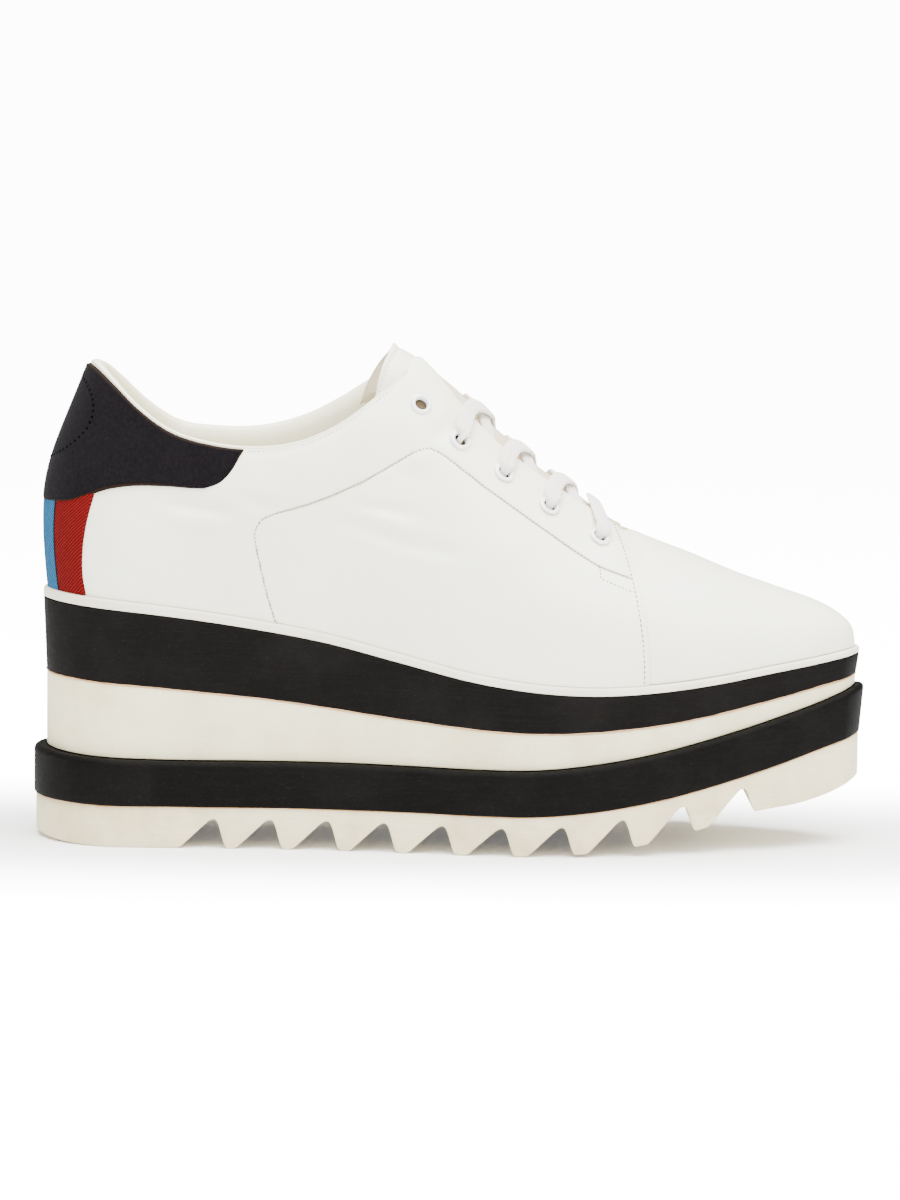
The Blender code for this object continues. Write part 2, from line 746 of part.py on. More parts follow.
# ---------------------------------------------------------------- tongue and insole
def build_tongue(collection):
    """Padded tongue: arcs bent across a crest line that follows the throat."""
    def crest(k):
        return np.array((TONGUE[k].crest_s, 0.0, TONGUE[k].crest_z))

    columns = []
    for k, row in enumerate(TONGUE):
        along = crest(max(k - 1, 0)) - crest(min(k + 1, len(TONGUE) - 1))
        along = along / np.linalg.norm(along)
        out = np.array((-along[2], 0.0, along[0]))
        outer, inner = [], []
        for j in range(TONGUE_FACES + 1):
            angle = radians(row.half_angle) * (2 * j / TONGUE_FACES - 1)
            ray = out * cos(angle) + np.array((0.0, sin(angle), 0.0))
            centre = crest(k) - out * row.radius
            outer.append(centre + ray * row.radius)
            inner.append(centre + ray * (row.radius - TONGUE_THICK))
        columns.append((inner, outer))
    return overlay("tongue", collection, columns, "tongue")


def build_insole(collection):
    """Flat insole on the welt, inside the upper's wall."""
    stations = plan_stations()
    inset = add_inset(UPPER_INSET, INSOLE_CLEAR)
    foot = ring_at(stations, inset, welt_top, drop=-GAP)
    top = ring_at(stations, inset, welt_top, drop=-GAP - INSOLE_THICK)
    return closed_loft("insole", [foot, top], collection, "insole")


# ---------------------------------------------------------------- eyelets and laces
def eyelet_frame(shell, row):
    """Centre on the leather, outward normal and two directions along the leather."""
    place, v = shell.find(row.station, row.height)
    centre = shell.point(place, v)
    out = shell.normal(place, v)
    along = np.cross(np.array((0.0, 1.0, 0.0)), out)
    along = along / np.linalg.norm(along)
    return centre, out, along, np.cross(out, along)


def turned(frame, profile, sides):
    """Rings of a turned shape on an eyelet's axis; the profile lists (radius, height)."""
    centre, out, along, across = frame
    rings = []
    for radius, height in profile:
        rings.append([centre + out * height + (along * cos(a) + across * sin(a)) * radius
                      for a in (2 * pi * k / sides for k in range(sides))])
    return rings


def build_eyelet(name, frame, collection):
    """Enamelled eyelet: a rounded head on the leather and a barrel through it."""
    top = GAP + EYELET_HEAD
    edge, mouth = GAP + EYELET_HEAD * 0.8, GAP + EYELET_HEAD * 0.4
    profile = ((EYELET_HOLE, -WALL), (EYELET_SHANK, -WALL), (EYELET_SHANK, GAP),
               (EYELET_RADIUS, GAP), (EYELET_RADIUS - EYELET_BEVEL, edge),
               (EYELET_HOLE + EYELET_FUNNEL, top), (EYELET_HOLE, mouth))
    rings = turned(frame, profile, EYELET_SIDES)
    count = len(rings)
    points = [p for ring in rings for p in ring]
    faces = []
    for k in range(count):
        n = (k + 1) % count
        for i in range(EYELET_SIDES):
            j = (i + 1) % EYELET_SIDES
            faces.append((k * EYELET_SIDES + i, k * EYELET_SIDES + j,
                          n * EYELET_SIDES + j, n * EYELET_SIDES + i))
    piece = new_object(name, points, faces, collection, "eyelet")
    build = bmesh.new()
    build.from_mesh(piece.data)
    bmesh.ops.recalc_face_normals(build, faces=build.faces)
    build.to_mesh(piece.data)
    build.free()
    return piece


def punch(upper, frames, cutters):
    """Round holes through the facings, one cutter mesh for all of them."""
    build = bmesh.new()
    profile = ((EYELET_BARREL, -WALL - PUNCH_OVER), (EYELET_BARREL, PUNCH_OVER))
    for frame in frames:
        low, high = [[build.verts.new(world(p)) for p in ring]
                     for ring in turned(frame, profile, EYELET_SIDES)]
        build.faces.new(low[::-1])
        build.faces.new(high)
        for i in range(EYELET_SIDES):
            j = (i + 1) % EYELET_SIDES
            build.faces.new((low[i], low[j], high[j], high[i]))
    bmesh.ops.recalc_face_normals(build, faces=build.faces)
    mesh = bpy.data.meshes.new("eyelet_punches")
    build.to_mesh(mesh)
    build.free()
    cutter = bpy.data.objects.new("eyelet_punches", mesh)
    cutter.hide_render = True
    cutter.display_type = "WIRE"
    cutters.objects.link(cutter)
    cut = upper.modifiers.new("eyelet_holes", "BOOLEAN")
    cut.operation = "DIFFERENCE"
    cut.solver = "EXACT"
    cut.object = cutter


class Throat:
    """The closed arch over the throat, both sides in one, on which the lace lies."""

    def __init__(self):
        rows = [k for k, row in enumerate(ARCHES) if row.foot <= THROAT_FOOT]
        self.stations = [ARCHES[k].crest_s for k in rows]
        self.ribs = {side: [arch_rib(side, k) for k in rows] for side in SIDES}

    def point(self, station, across):
        """Point over a crest station at a signed distance across, quarter step included."""
        side = LATERAL if across < 0 else MEDIAL
        rib = smooth(self.stations, self.ribs[side], station)
        low, high = THROAT_SHARE, 1.0
        for _ in range(HALVINGS):
            middle = (low + high) / 2
            if abs(bezier(rib, middle)[1]) > abs(across):
                low = middle
            else:
                high = middle
        return bezier(rib, low)

    def place(self, point):
        """Crest station and distance across of a point of the arch."""
        low, high = self.stations[0], self.stations[-1]
        for _ in range(HALVINGS):
            middle = (low + high) / 2
            if self.point(middle, point[1])[0] < point[0]:
                low = middle
            else:
                high = middle
        return low, point[1]

    def lifted(self, station, across, height):
        """The same point moved out along the arch's normal."""
        d = 0.5
        along = self.point(station + d, across) - self.point(station - d, across)
        over = self.point(station, across + d) - self.point(station, across - d)
        out = np.cross(along, over)
        return self.point(station, across) + out / np.linalg.norm(out) * height


def strap(throat, ends, name, collection, full_bar=False):
    """Flat strap on the arch between two (crest station, across) ends, narrow by its eyelets."""
    base = QUARTER_STEP + LACE_LIFT
    (start, y0), (goal, y1) = ends
    run = sqrt((goal - start) ** 2 + (y1 - y0) ** 2)
    to_side = np.array((y1 - y0, start - goal)) / run * LACE_WIDTH / 2
    columns = []
    for k in range(LACE_FACES + 1):
        u = k / LACE_FACES
        middle = np.array((start + (goal - start) * u, y0 + (y1 - y0) * u))
        by_eyelet = k == 0 or (full_bar and k == LACE_FACES)
        narrow = LACE_NARROW if by_eyelet else 1.0
        low, high = [], []
        for edge in (-narrow, 0.0, narrow):
            s, y = middle + to_side * edge
            low.append(throat.lifted(s, y, base))
            high.append(throat.lifted(s, y, base + LACE_THICK))
        columns.append((low, high))
    return overlay(name, collection, columns, "lace")


def build_crossings(throat, frames, collection):
    """Crossings from each pair of eyelets down to the next, and a bar at the lowest pair."""
    last = len(EYELETS) - 1
    for number in range(1, last):
        parts = []
        for side, name in ((LATERAL, "lace_crossing_%d" % number), (MEDIAL, "strap_mate")):
            start, across = throat.place(frames[(side, number)][0])
            goal, beyond = throat.place(frames[(-side, number + 1)][0])
            ends = ((start, across), (goal, beyond))
            parts.append(strap(throat, trimmed(ends, side), name, collection))
        join(parts[0], parts[1])
    left, right = (throat.place(frames[(side, last)][0]) for side in SIDES)
    clear = EYELET_RADIUS + GAP
    ends = ((left[0] + BAR_AHEAD, left[1] + clear), (right[0] + BAR_AHEAD, right[1] - clear))
    strap(throat, ends, "lace_crossing_%d" % last, collection, full_bar=True)


def trimmed(ends, side):
    """The strap from beside its eyelet to a little way past the middle."""
    (s0, y0), (s1, y1) = ends
    y_from = y0 - side * (EYELET_RADIUS + GAP)
    y_to = -side * LACE_OVERRUN

    def at(y):
        return s0 + (s1 - s0) * (y - y0) / (y1 - y0), y

    return at(y_from), at(y_to)


def join(target, mate):
    """Union of two meshes into the first; the second is removed."""
    union = target.modifiers.new("join", "BOOLEAN")
    union.operation = "UNION"
    union.solver = "EXACT"
    union.object = mate
    bpy.context.view_layer.update()
    graph = bpy.context.evaluated_depsgraph_get()
    mesh = bpy.data.meshes.new_from_object(target.evaluated_get(graph))
    target.modifiers.clear()
    target.data = mesh
    bpy.data.objects.remove(mate, do_unlink=True)


# ---------------------------------------------------------------- the shoe
def clear_scene():
    for item in list(bpy.data.objects):
        bpy.data.objects.remove(item, do_unlink=True)


def new_collection(name):
    collection = bpy.data.collections.new(name)
    bpy.context.scene.collection.children.link(collection)
    return collection


def build_sole(parts):
    build_tread(parts)
    build_layer("outsole_band", parts, level("tread"), level("band"),
                BAND_FOOT_INSET, (0.0, 0.0), BAND_LIP)
    build_layer("midsole_white", parts, level("band"), level("white"),
                WHITE_INSET, WHITE_INSET, FOAM_LIP)
    build_layer("midsole_black", parts, level("white"), level("black"),
                BLACK_FOOT_INSET, BLACK_TOP_INSET, FOAM_LIP)
    build_layer("welt", parts, level("black"), lambda s: welt_top(s) + GAP,
                WELT_INSET, WELT_INSET, FOAM_LIP)


def main():
    clear_scene()
    parts = new_collection("wedge_sneaker")
    cutters = new_collection("cutters")
    shells = {side: Shell(side) for side in SIDES}
    build_sole(parts)
    upper = build_upper(shells, parts)
    build_counter(shells, parts)
    build_ribbon(shells, parts)
    build_tongue(parts)
    build_insole(parts)
    frames = {}
    for side, word in ((LATERAL, "lateral"), (MEDIAL, "medial")):
        for k, row in enumerate(EYELETS):
            frames[(side, k)] = eyelet_frame(shells[side], row)
            build_eyelet("eyelet_%s_%d" % (word, k + 1), frames[(side, k)], parts)
    punch(upper, list(frames.values()), cutters)
    throat = Throat()
    build_crossings(throat, frames, parts)


if __name__ == "__main__":
    main()
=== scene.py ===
"""Dressed wedge sneaker, right shoe.

The sole, the upper and the trims are worked out on the same named stations as the shoe's last:
the station runs along the sole from the heel's back (0) to the toe's tip (LENGTH), and y is the
distance from the heel-to-toe line, negative on the outer (lateral) side.  Sizes in the tables are
millimetres.  Each sub-assembly is a class that builds its meshes and dresses them.
"""
from __future__ import annotations

import logging
from contextlib import contextmanager
from dataclasses import dataclass, field
from enum import Enum
from functools import cache
from itertools import product
from math import atan, cos, pi, radians, sin
from typing import Callable, Iterator, NamedTuple, Sequence

import bmesh
import bpy
import numpy as np
from bpy.types import (Material, Mesh, Modifier, Node, NodeTree, NodeTreeInterfaceSocket,
                       Object)
from bpy.types import NodeSocket as Socket
from mathutils import Matrix, Vector

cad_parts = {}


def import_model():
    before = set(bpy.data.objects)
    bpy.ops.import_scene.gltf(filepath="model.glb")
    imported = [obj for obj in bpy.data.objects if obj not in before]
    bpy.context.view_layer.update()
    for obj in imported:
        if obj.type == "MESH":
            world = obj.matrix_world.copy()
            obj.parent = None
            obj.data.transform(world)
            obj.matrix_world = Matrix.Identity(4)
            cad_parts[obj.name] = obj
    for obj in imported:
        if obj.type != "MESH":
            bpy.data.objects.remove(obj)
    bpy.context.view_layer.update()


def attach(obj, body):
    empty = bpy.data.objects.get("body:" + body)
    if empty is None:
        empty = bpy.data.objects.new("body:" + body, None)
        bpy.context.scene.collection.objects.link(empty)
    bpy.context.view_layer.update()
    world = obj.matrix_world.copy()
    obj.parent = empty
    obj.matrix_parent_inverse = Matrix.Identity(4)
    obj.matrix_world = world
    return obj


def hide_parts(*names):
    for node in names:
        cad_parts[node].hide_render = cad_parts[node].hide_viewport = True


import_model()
LOG = logging.getLogger("wedge_sneaker")

Array = np.ndarray
Pair = tuple[float, float]
Path = Sequence[Pair]
Curve = Callable[[Array], Array]
Colour = tuple[float, float, float]
Value = float | Socket

MM = 0.001
BODY = "root"
LENGTH = 283.0
HEEL_ROUND = 34.0
TOE_ROUND = 7.0
GAP = 0.3
WALL = 2.0
QUARTER_STEP = 0.8


class Side(Enum):
    """The two sides of the shoe, with the sign of y."""

    LATERAL = -1
    MEDIAL = 1


# ---------- the last: short named tables
def table(kind: type, rows: Sequence[Sequence]) -> tuple:
    """Rows of plain values as rows with named columns."""
    return tuple(kind(*row) for row in rows)


class Halves(NamedTuple):
    """Half-widths of the widest layer before its ends are rounded."""

    station: float
    lateral: float
    medial: float


class Heights(NamedTuple):
    """Height over the floor of the top of each layer of the sole."""

    station: float
    tread: float
    band: float
    white: float
    black: float


class Collar(NamedTuple):
    """A rib of the upper that climbs from the feather line to the collar's rim."""

    foot: float
    rim_s: float
    rim_y: float
    rim_z: float
    rise: float
    lean: float
    pull: float
    tuck: float
    hold: float


class Arch(NamedTuple):
    """Half an arch from the feather line to the crest over the middle."""

    foot: float
    crest_s: float
    crest_z: float
    gap: float
    lean: float
    pull: float
    spread: float
    step: float


class Flap(NamedTuple):
    """An arc of the tongue over its crest line."""

    crest_s: float
    crest_z: float
    radius: float
    half_angle: float


OUTLINE = table(Halves, (
    (0, 34, 34), (20, 35.2, 35), (45, 36, 35), (75, 36.4, 33.2), (100, 38.2, 32.4),
    (130, 43.2, 34.4), (155, 47.6, 39.6), (176, 49, 44.2), (196, 47.4, 46.2), (216, 42.8, 44),
    (236, 35.4, 37.6), (254, 27.2, 29.2), (268, 19.8, 21.2), (276, 14.6, 15.4), (283, 9.6, 10)))
LEVELS = table(Heights, (
    (0, 14.7, 31.6, 57, 82), (12, 14.2, 30.5, 55.7, 80.9), (30, 13.9, 29.7, 54.4, 79.3),
    (50, 13.9, 29.3, 52.8, 77.2), (75, 13.9, 29.4, 50.6, 73.8), (100, 13.9, 29.4, 47.7, 69.5),
    (125, 13.8, 29.1, 44.5, 63.5), (150, 13.4, 28.6, 41.8, 57.6), (170, 13.4, 28.7, 40.8, 54.7),
    (190, 15, 30.7, 41.3, 53.6), (210, 18.3, 34.1, 43.3, 54.5), (230, 22.8, 38.8, 46.4, 56.7),
    (250, 28.3, 44.3, 50.8, 59.9), (266, 33.2, 49.2, 54.4, 62.4), (283, 38.4, 55.4, 58.4, 65.4)))
WELT_THICK = ((0, 3.1), (140, 2.7), (283, 2))
GROUND = ((0, 2.2), (8, 0.9), (16, 0.25), (24, 0), (95, 0), (140, 0), (170, 0), (187, 1.1),
          (207, 3.9), (227, 8.8), (244, 13.4), (261, 15.8), (271, 18.5), (279, 21.9), (283, 23.8))
COLLAR = table(Collar, (
    (0, 19.9, 0, 161, 0, 6, 40, 21, 38), (1.6, 20.8, 6.4, 160.9, 0, 6, 40, 20, 37),
    (6, 23.5, 12.1, 159.2, 0, 7, 37, 18, 35), (14, 28.5, 17.5, 154.6, 0, 8, 33, 15, 31),
    (26, 36.3, 22.1, 147, 0, 9, 28, 13, 27), (42, 47, 25.8, 139.4, 0.5, 10, 23, 12, 22),
    (60, 60.5, 28.2, 135.1, 2.6, 10, 20, 11, 20), (77, 76, 29, 133.6, 4.4, 10, 20, 11, 20),
    (92, 90, 28.8, 135.4, 6.2, 10, 22, 12, 21), (106, 103, 27.4, 140.9, 7.2, 9, 27, 14, 22),
    (119, 115.5, 24.6, 150, 6, 8, 34, 20, 24), (128, 124.6, 19, 157.4, 2.8, 8, 37, 30, 22)))
ARCHES = table(Arch, (
    (134, 131, 166.2, 10.6, 8, 38, 24.5, 1), (140, 136.5, 161.2, 10.8, 8, 37, 24, 1),
    (148, 144, 152.8, 12.2, 9, 36, 23.5, 1), (160, 155.5, 140.9, 13.4, 9, 34, 22.5, 1),
    (173, 168, 129.7, 12, 10, 30, 22, 1), (186, 179.5, 121.5, 11.2, 10, 27, 21, 1),
    (199, 189.5, 114.3, 10.2, 11, 24, 21, 1), (209.5, 196, 109.6, 9, 12, 21, 22, 1),
    (210.5, 197.6, 108.5, 8, 12, 21, 22, 0), (212, 199.6, 107.3, 5.4, 12, 20.5, 22.2, 0),
    (214.5, 202.2, 106, 0, 12, 20, 22.4, 0), (224, 213, 101.9, 0, 12, 18, 22.5, 0),
    (237, 227, 96.6, 0, 11, 15, 20.5, 0), (250, 241, 91, 0, 10, 12, 17.5, 0),
    (262, 254, 86.6, 0, 8, 9.5, 14.5, 0), (272, 264, 83.2, 0, 5, 8, 11.5, 0),
    (279, 270, 80.6, 0, 1, 7, 8.5, 0), (282.2, 273, 78.8, 0, -3, 6.5, 6, 0),
    (283, 274.4, 77.8, 0, -5, 6, 4.2, 0)))
TONGUE = table(Flap, (
    (205, 102.4, 24, 30), (198.6, 106.6, 20, 40), (190, 113, 17.6, 50), (180.4, 120, 17, 56),
    (169.2, 127.9, 16.8, 60), (156.8, 139, 16.8, 64), (145.3, 150, 16.6, 69),
    (137.6, 156.8, 16.3, 74), (130.9, 161.9, 16, 80), (125.6, 165.3, 15.8, 85),
    (121.8, 168.8, 15.6, 86)))
COUNTER_EDGE = ((0, 114.2), (8, 114.2), (15, 114.8), (21, 117), (26, 118.9), (34, 120.4),
                (46, 120.6), (56, 120), (70, 120.2))
COUNTER_FRONT = ((110, 59.6), (120.1, 60), (120.8, 62.4), (121.9, 65), (123.5, 67), (126.6, 69.5),
                 (130.3, 71.3), (134.2, 73))
RIBBON_EDGE = ((82, 20.6), (91, 19), (99, 19), (109, 20.6), (118, 22.9))
EYELETS = ((131, 148.3), (144.1, 136.5), (158.8, 125.6), (174.2, 114.6), (191.1, 104.4))
TREAD_INSET = (0.7, 1.6)
BAND_FOOT_INSET = (0.0, 1.2)
BAND_TOP_INSET = (0.0, 0.0)
WHITE_INSET = (4.3, 3.0)
BLACK_FOOT_INSET = (4.2, 2.7)
BLACK_TOP_INSET = (3.2, 1.8)
WELT_INSET = (3.1, 1.7)
UPPER_INSET = (5.9, 3.2)
FEATHER_GAP = 0.55


# ---------- curves through short tables
class Track:
    """Smooth curve through a short table of numbers or points."""

    def __init__(self, stations: Sequence[float], values: Sequence) -> None:
        """Work out the slope at each of the table's rows."""
        self.x, self.y = np.asarray(stations, float), np.asarray(values, float)
        self.tail = (1,) * (self.y.ndim - 1)
        self.run = np.diff(self.x)
        rate = np.diff(self.y, axis=0) / self.run.reshape(-1, *self.tail)
        share = (self.run[:-1] / (self.run[:-1] + self.run[1:])).reshape(-1, *self.tail)
        inner = rate[:-1] * (1 - share) + rate[1:] * share
        self.slope = np.concatenate([rate[:1], inner, rate[-1:]])

    def __call__(self, at: Array | float) -> Array:
        """Read the curve at an array of places."""
        x, y, slope = self.x, self.y, self.slope
        at = np.clip(np.asarray(at, float), x[0], x[-1])
        i = np.clip(np.searchsorted(x, at, side="right") - 1, 0, len(x) - 2)
        h = np.reshape(self.run[i], (*at.shape, *self.tail))
        u = np.reshape(at - x[i], (*at.shape, *self.tail)) / h
        w = 1 - u
        return (y[i] * (w * w * (1 + 2 * u)) + y[i + 1] * (u * u * (3 - 2 * u))
                + slope[i] * (u * w * w * h) - slope[i + 1] * (u * u * w * h))


@cache
def track(table: tuple, name: str = "") -> Track:
    """Curve of a named column of a station table, or of (place, value) pairs; kept once made."""
    if name:
        return Track([row.station for row in table], [getattr(row, name) for row in table])
    return Track(*zip(*table))


def smooth(stations: Sequence[float], values: Sequence, at: Array | float) -> Array:
    """Read a smooth curve through a short table at an array of places."""
    return Track(stations, values)(at)


def column(table: tuple, name: str, at: Array | float) -> Array:
    """Read one named column of a station table."""
    return track(table, name)(at)


def pairs(table: tuple, at: Array | float) -> Array:
    """Read a table of (place, value) pairs."""
    return track(table)(at)


def blend(ends: Pair, station: Array) -> Array:
    """Value that runs straight from the heel's to the toe's."""
    return ends[0] + (ends[1] - ends[0]) * np.asarray(station) / LENGTH


def ease(x: Array | float) -> Array:
    """Soft step from 0 to 1."""
    x = np.clip(x, 0.0, 1.0)
    return x * x * (3 - 2 * x)


def rounding(near: Array | float) -> Array:
    """Height of a quarter circle at a share of its width, from 0 to 1."""
    return np.sqrt(1 - (1 - np.clip(near, 0.0, 1.0)) ** 2)


def unit(vectors: Array) -> Array:
    """Vectors brought to length 1."""
    return vectors / np.linalg.norm(vectors, axis=-1, keepdims=True)


def lengths(points: Array) -> Array:
    """Length run along a line of points, from 0 at the first."""
    return np.concatenate([[0.0], np.cumsum(np.linalg.norm(np.diff(points, axis=0), axis=1))])


def spread(*values: Array | float) -> list[Array]:
    """Arrays of numbers brought to one shape."""
    return np.broadcast_arrays(*(np.asarray(value, float) for value in values))


def bisect(before: Curve, low: float, high: float, turns: int = 24) -> Array:
    """Close in by halves on the places where a test stops holding.

    Args:
        before: tells which places lie before those.
        low: start of the search.
        high: end of the search.
        turns: number of halvings.

    Returns:
        The last places at which the test held.
    """
    for _ in range(turns):
        middle = (low + high) / 2
        held = before(middle)
        low, high = np.where(held, middle, low), np.where(held, high, middle)
    return low


def shift_y() -> float:
    """Middle of the sole's box across, read round its widest stations."""
    span = np.arange(150.0, 220.0, 0.5)
    lateral, medial = (column(OUTLINE, name, span).max() for name in ("lateral", "medial"))
    return float(medial - lateral) / 2


SHIFT_Y = shift_y()


def world(points: Array) -> Array:
    """Shoe millimetres to metres about the middle of the floor print."""
    return (np.asarray(points, float) - (LENGTH / 2, SHIFT_Y, 0.0)) * MM


# ---------- plan of the sole
def plan_raw(side: Side, turn: Array) -> Array:
    """Widest outline as (station, y counted positive) for a turn from heel (0) to toe (1)."""
    station = LENGTH * (1 - np.cos(pi * turn)) / 2
    half = column(OUTLINE, side.name.lower(), station)
    for reach, size in ((station, HEEL_ROUND), (LENGTH - station, TOE_ROUND)):
        end = np.sqrt(np.clip(1 - (1 - reach / size) ** 2, 0, 1))
        half = half * np.where(reach < size, end, 1.0)
    return np.stack([station, half], -1)


def plan_normal(side: Side, turn: Array, step: float = 0.002) -> Array:
    """Outward normal of the outline in plan, with y counted positive."""
    along = plan_raw(side, np.minimum(turn + step, 1)) - plan_raw(side, np.maximum(turn - step, 0))
    along = np.where((turn <= 0)[..., None], (0.0, 1.0), along)
    along = unit(np.where((turn >= 1)[..., None], (0.0, -1.0), along))
    return np.stack([-along[..., 1], along[..., 0]], -1)


def plan(side: Side, station: Array, inset: Array | float) -> tuple[Array, Array]:
    """Outline moved inward.

    Args:
        side: side of the shoe.
        station: stations of the outline's points.
        inset: distance moved inward, in millimetres.

    Returns:
        The points as (station, signed y), and the outward normals with signed y.
    """
    station = np.asarray(station, float)
    turn = np.arccos(1 - 2 * np.clip(station / LENGTH, 0, 1)) / pi
    out = plan_normal(side, turn)
    point = plan_raw(side, turn) - out * np.asarray(inset)[..., None]
    sign = np.array((1.0, side.value))
    point[..., 1] = np.maximum(point[..., 1], 0.0)
    return point * sign, out * sign


def welt_top(station: Array | float) -> Array:
    """Height of the welt's upper face."""
    return column(LEVELS, "black", station) + pairs(WELT_THICK, station)


# ---------- the upper's surface
def bezier(points: Array, v: Array | float) -> Array:
    """Point of cubic Bezier curves; points has shape (..., 4, 3) and v has shape (...)."""
    v = np.asarray(v, float)[..., None]
    w = 1 - v
    return (points[..., 0, :] * w ** 3 + points[..., 1, :] * 3 * v * w * w
            + points[..., 2, :] * 3 * v * v * w + points[..., 3, :] * v ** 3)


def lower_part(points: Array, v: float) -> Array:
    """Control points of one curve's part from 0 to v."""
    a, b, c, d = points
    ab, bc, cd = a + (b - a) * v, b + (c - b) * v, c + (d - c) * v
    abc, bcd = ab + (bc - ab) * v, bc + (cd - bc) * v
    return np.array((a, ab, abc, abc + (bcd - abc) * v))


class Last:
    """Surface of one side of the upper, read at (place along the ribs, share up a rib)."""

    def __init__(self, side: Side) -> None:
        """Work out the ribs' control points for one side."""
        self.side = side
        collar = [self.collar_rib(row) for row in COLLAR]
        self.full = np.array([self.arch_rib(k) for k in range(len(ARCHES))])
        throat = [self.cut(self.full[k], ARCHES[k].gap) for k in range(len(ARCHES))]
        self.ribs = np.array(collar + throat)
        self.steps = np.array([1.0] * len(COLLAR) + [float(row.step) for row in ARCHES])
        run = (np.linalg.norm(np.diff(self.ribs[:, 0], axis=0), axis=1)
               + np.linalg.norm(np.diff(self.ribs[:, 3], axis=0), axis=1)) / 2
        self.places = np.concatenate([[0.0], np.cumsum(run)])
        self.end = float(self.places[-1])
        self.rib = Track(self.places, self.ribs)
        self.arch = Track([row.crest_s for row in ARCHES], self.full)

    def feather(self, foot: float, lean: float, pull: float) -> tuple[Array, ...]:
        """First two control points of a rib, and its outward direction in plan."""
        (x, y), out = plan(self.side, np.array(foot), blend(UPPER_INSET, foot))
        start = np.array((x, y, float(welt_top(x)) + FEATHER_GAP))
        rise = np.array((*out * sin(radians(lean)), cos(radians(lean))))
        return start, start + rise * pull, np.array((*out, 0.0))

    def collar_rib(self, row: Collar) -> Array:
        """Control points of a rib that ends at the collar's rim."""
        start, first, out = self.feather(row.foot, row.lean, row.pull)
        height = row.rim_z + (row.rise if self.side is Side.MEDIAL else 0.0)
        rim = np.array((row.rim_s, self.side.value * row.rim_y, height))
        arrive = out * -sin(radians(row.tuck)) + np.array((0, 0, cos(radians(row.tuck))))
        return np.array((start, first, rim - arrive * row.hold, rim))

    def arch_rib(self, k: int) -> Array:
        """Control points of a half arch up to the crest."""
        row, low, high = ARCHES[k], ARCHES[max(k - 1, 0)], ARCHES[min(k + 1, len(ARCHES) - 1)]
        start, first, out = self.feather(row.foot, row.lean, row.pull)
        crest = np.array((row.crest_s, 0.0, row.crest_z))
        slope = (high.crest_z - low.crest_z) / (high.crest_s - low.crest_s)
        level = np.array((out[0], out[1], out[0] * slope))
        return np.array((start, first, crest + level * row.spread, crest))

    @staticmethod
    def cut(points: Array, gap: float) -> Array:
        """The half arch, cut where it meets the throat's edge."""
        if gap <= 0.0:
            return points
        return lower_part(points, bisect(lambda v: abs(bezier(points, v)[1]) > gap, 0.0, 1.0, 40))

    def skin(self, place: Array, v: Array) -> Array:
        """Bare surface at broadcast places and shares."""
        place, v = spread(place, v)
        return bezier(self.rib(place), v)

    def normal(self, place: Array, v: Array, d: float = 0.01) -> Array:
        """Outward unit normal."""
        place, v = spread(place, v)
        along = (self.skin(np.minimum(place + d, self.end), v)
                 - self.skin(np.maximum(place - d, 0.0), v))
        up = self.skin(place, np.minimum(v + d, 1.0)) - self.skin(place, np.maximum(v - d, 0.0))
        out = np.cross(along, up) * -self.side.value
        flat = np.stack([up[..., 2], np.zeros_like(v), -up[..., 0]], -1)
        out = np.where((place <= 0.0)[..., None], -flat, out)
        out = np.where((place >= self.end)[..., None], flat, out)
        return out / np.maximum(np.linalg.norm(out, axis=-1, keepdims=True), 1e-9)

    def point(self, place: Array, v: Array, out: Array | float = 0.0) -> Array:
        """Surface point moved outward, with y held at 0 on the middle line."""
        place, v = spread(place, v)
        out = np.broadcast_to(np.asarray(out, float), place.shape)
        point = self.skin(place, v) + self.normal(place, v) * out[..., None]
        point[..., 1] = np.where((place <= 0.0) | (place >= self.end), 0.0, point[..., 1])
        return point

    def lay(self, place: Array, v: Array, out: Array | float) -> tuple[Array, Array]:
        """Surface points moved outward, and their outward normals."""
        return self.point(place, v, out), self.normal(place, v)

    def share_at(self, place: Array, height: Array) -> Array:
        """Share of the rib at which it reaches a height."""
        place, height = spread(place, height)
        return bisect(lambda v: self.skin(place, v)[..., 2] < height, 0.0, 1.0, 22)

    def find(self, station: Array, height: Array) -> tuple[Array, Array]:
        """Places and shares of the surface's points at stations and heights."""
        station, height = spread(station, height)
        place = bisect(lambda at: self.skin(at, self.share_at(at, height))[..., 0] < station,
                       0.0, self.end)
        return place, self.share_at(place, height)

    def front_edge(self, v: Array, edge: Path) -> Array:
        """Place where the surface crosses an edge given as (height, station)."""
        def inside(place: Array) -> Array:
            point = self.skin(place, v)
            return point[..., 0] < pairs(edge, point[..., 2])

        return bisect(inside, 0.0, self.end / 2)

    def over_throat(self, station: float, across: float, height: float = 0.0) -> Array:
        """Point over the throat's closed arch at a crest station and a distance across."""
        def on(s: float, y: float) -> Array:
            rib = self.arch(s)
            shares = np.linspace(0.35, 1.0, 200)
            reach = np.abs(bezier(rib, shares)[:, 1])
            point = bezier(rib, float(np.interp(-abs(y), -reach, shares)))
            return point * (1, -1, 1) if (y * self.side.value) < 0 else point

        d = 0.5
        out = np.cross(on(station + d, across) - on(station - d, across),
                       on(station, across + d) - on(station, across - d))
        return on(station, across) + unit(out) * height


LASTS = {side: Last(side) for side in Side}
QUARTER_END = float(LASTS[Side.LATERAL].places[len(COLLAR) + 7]) - 1.1


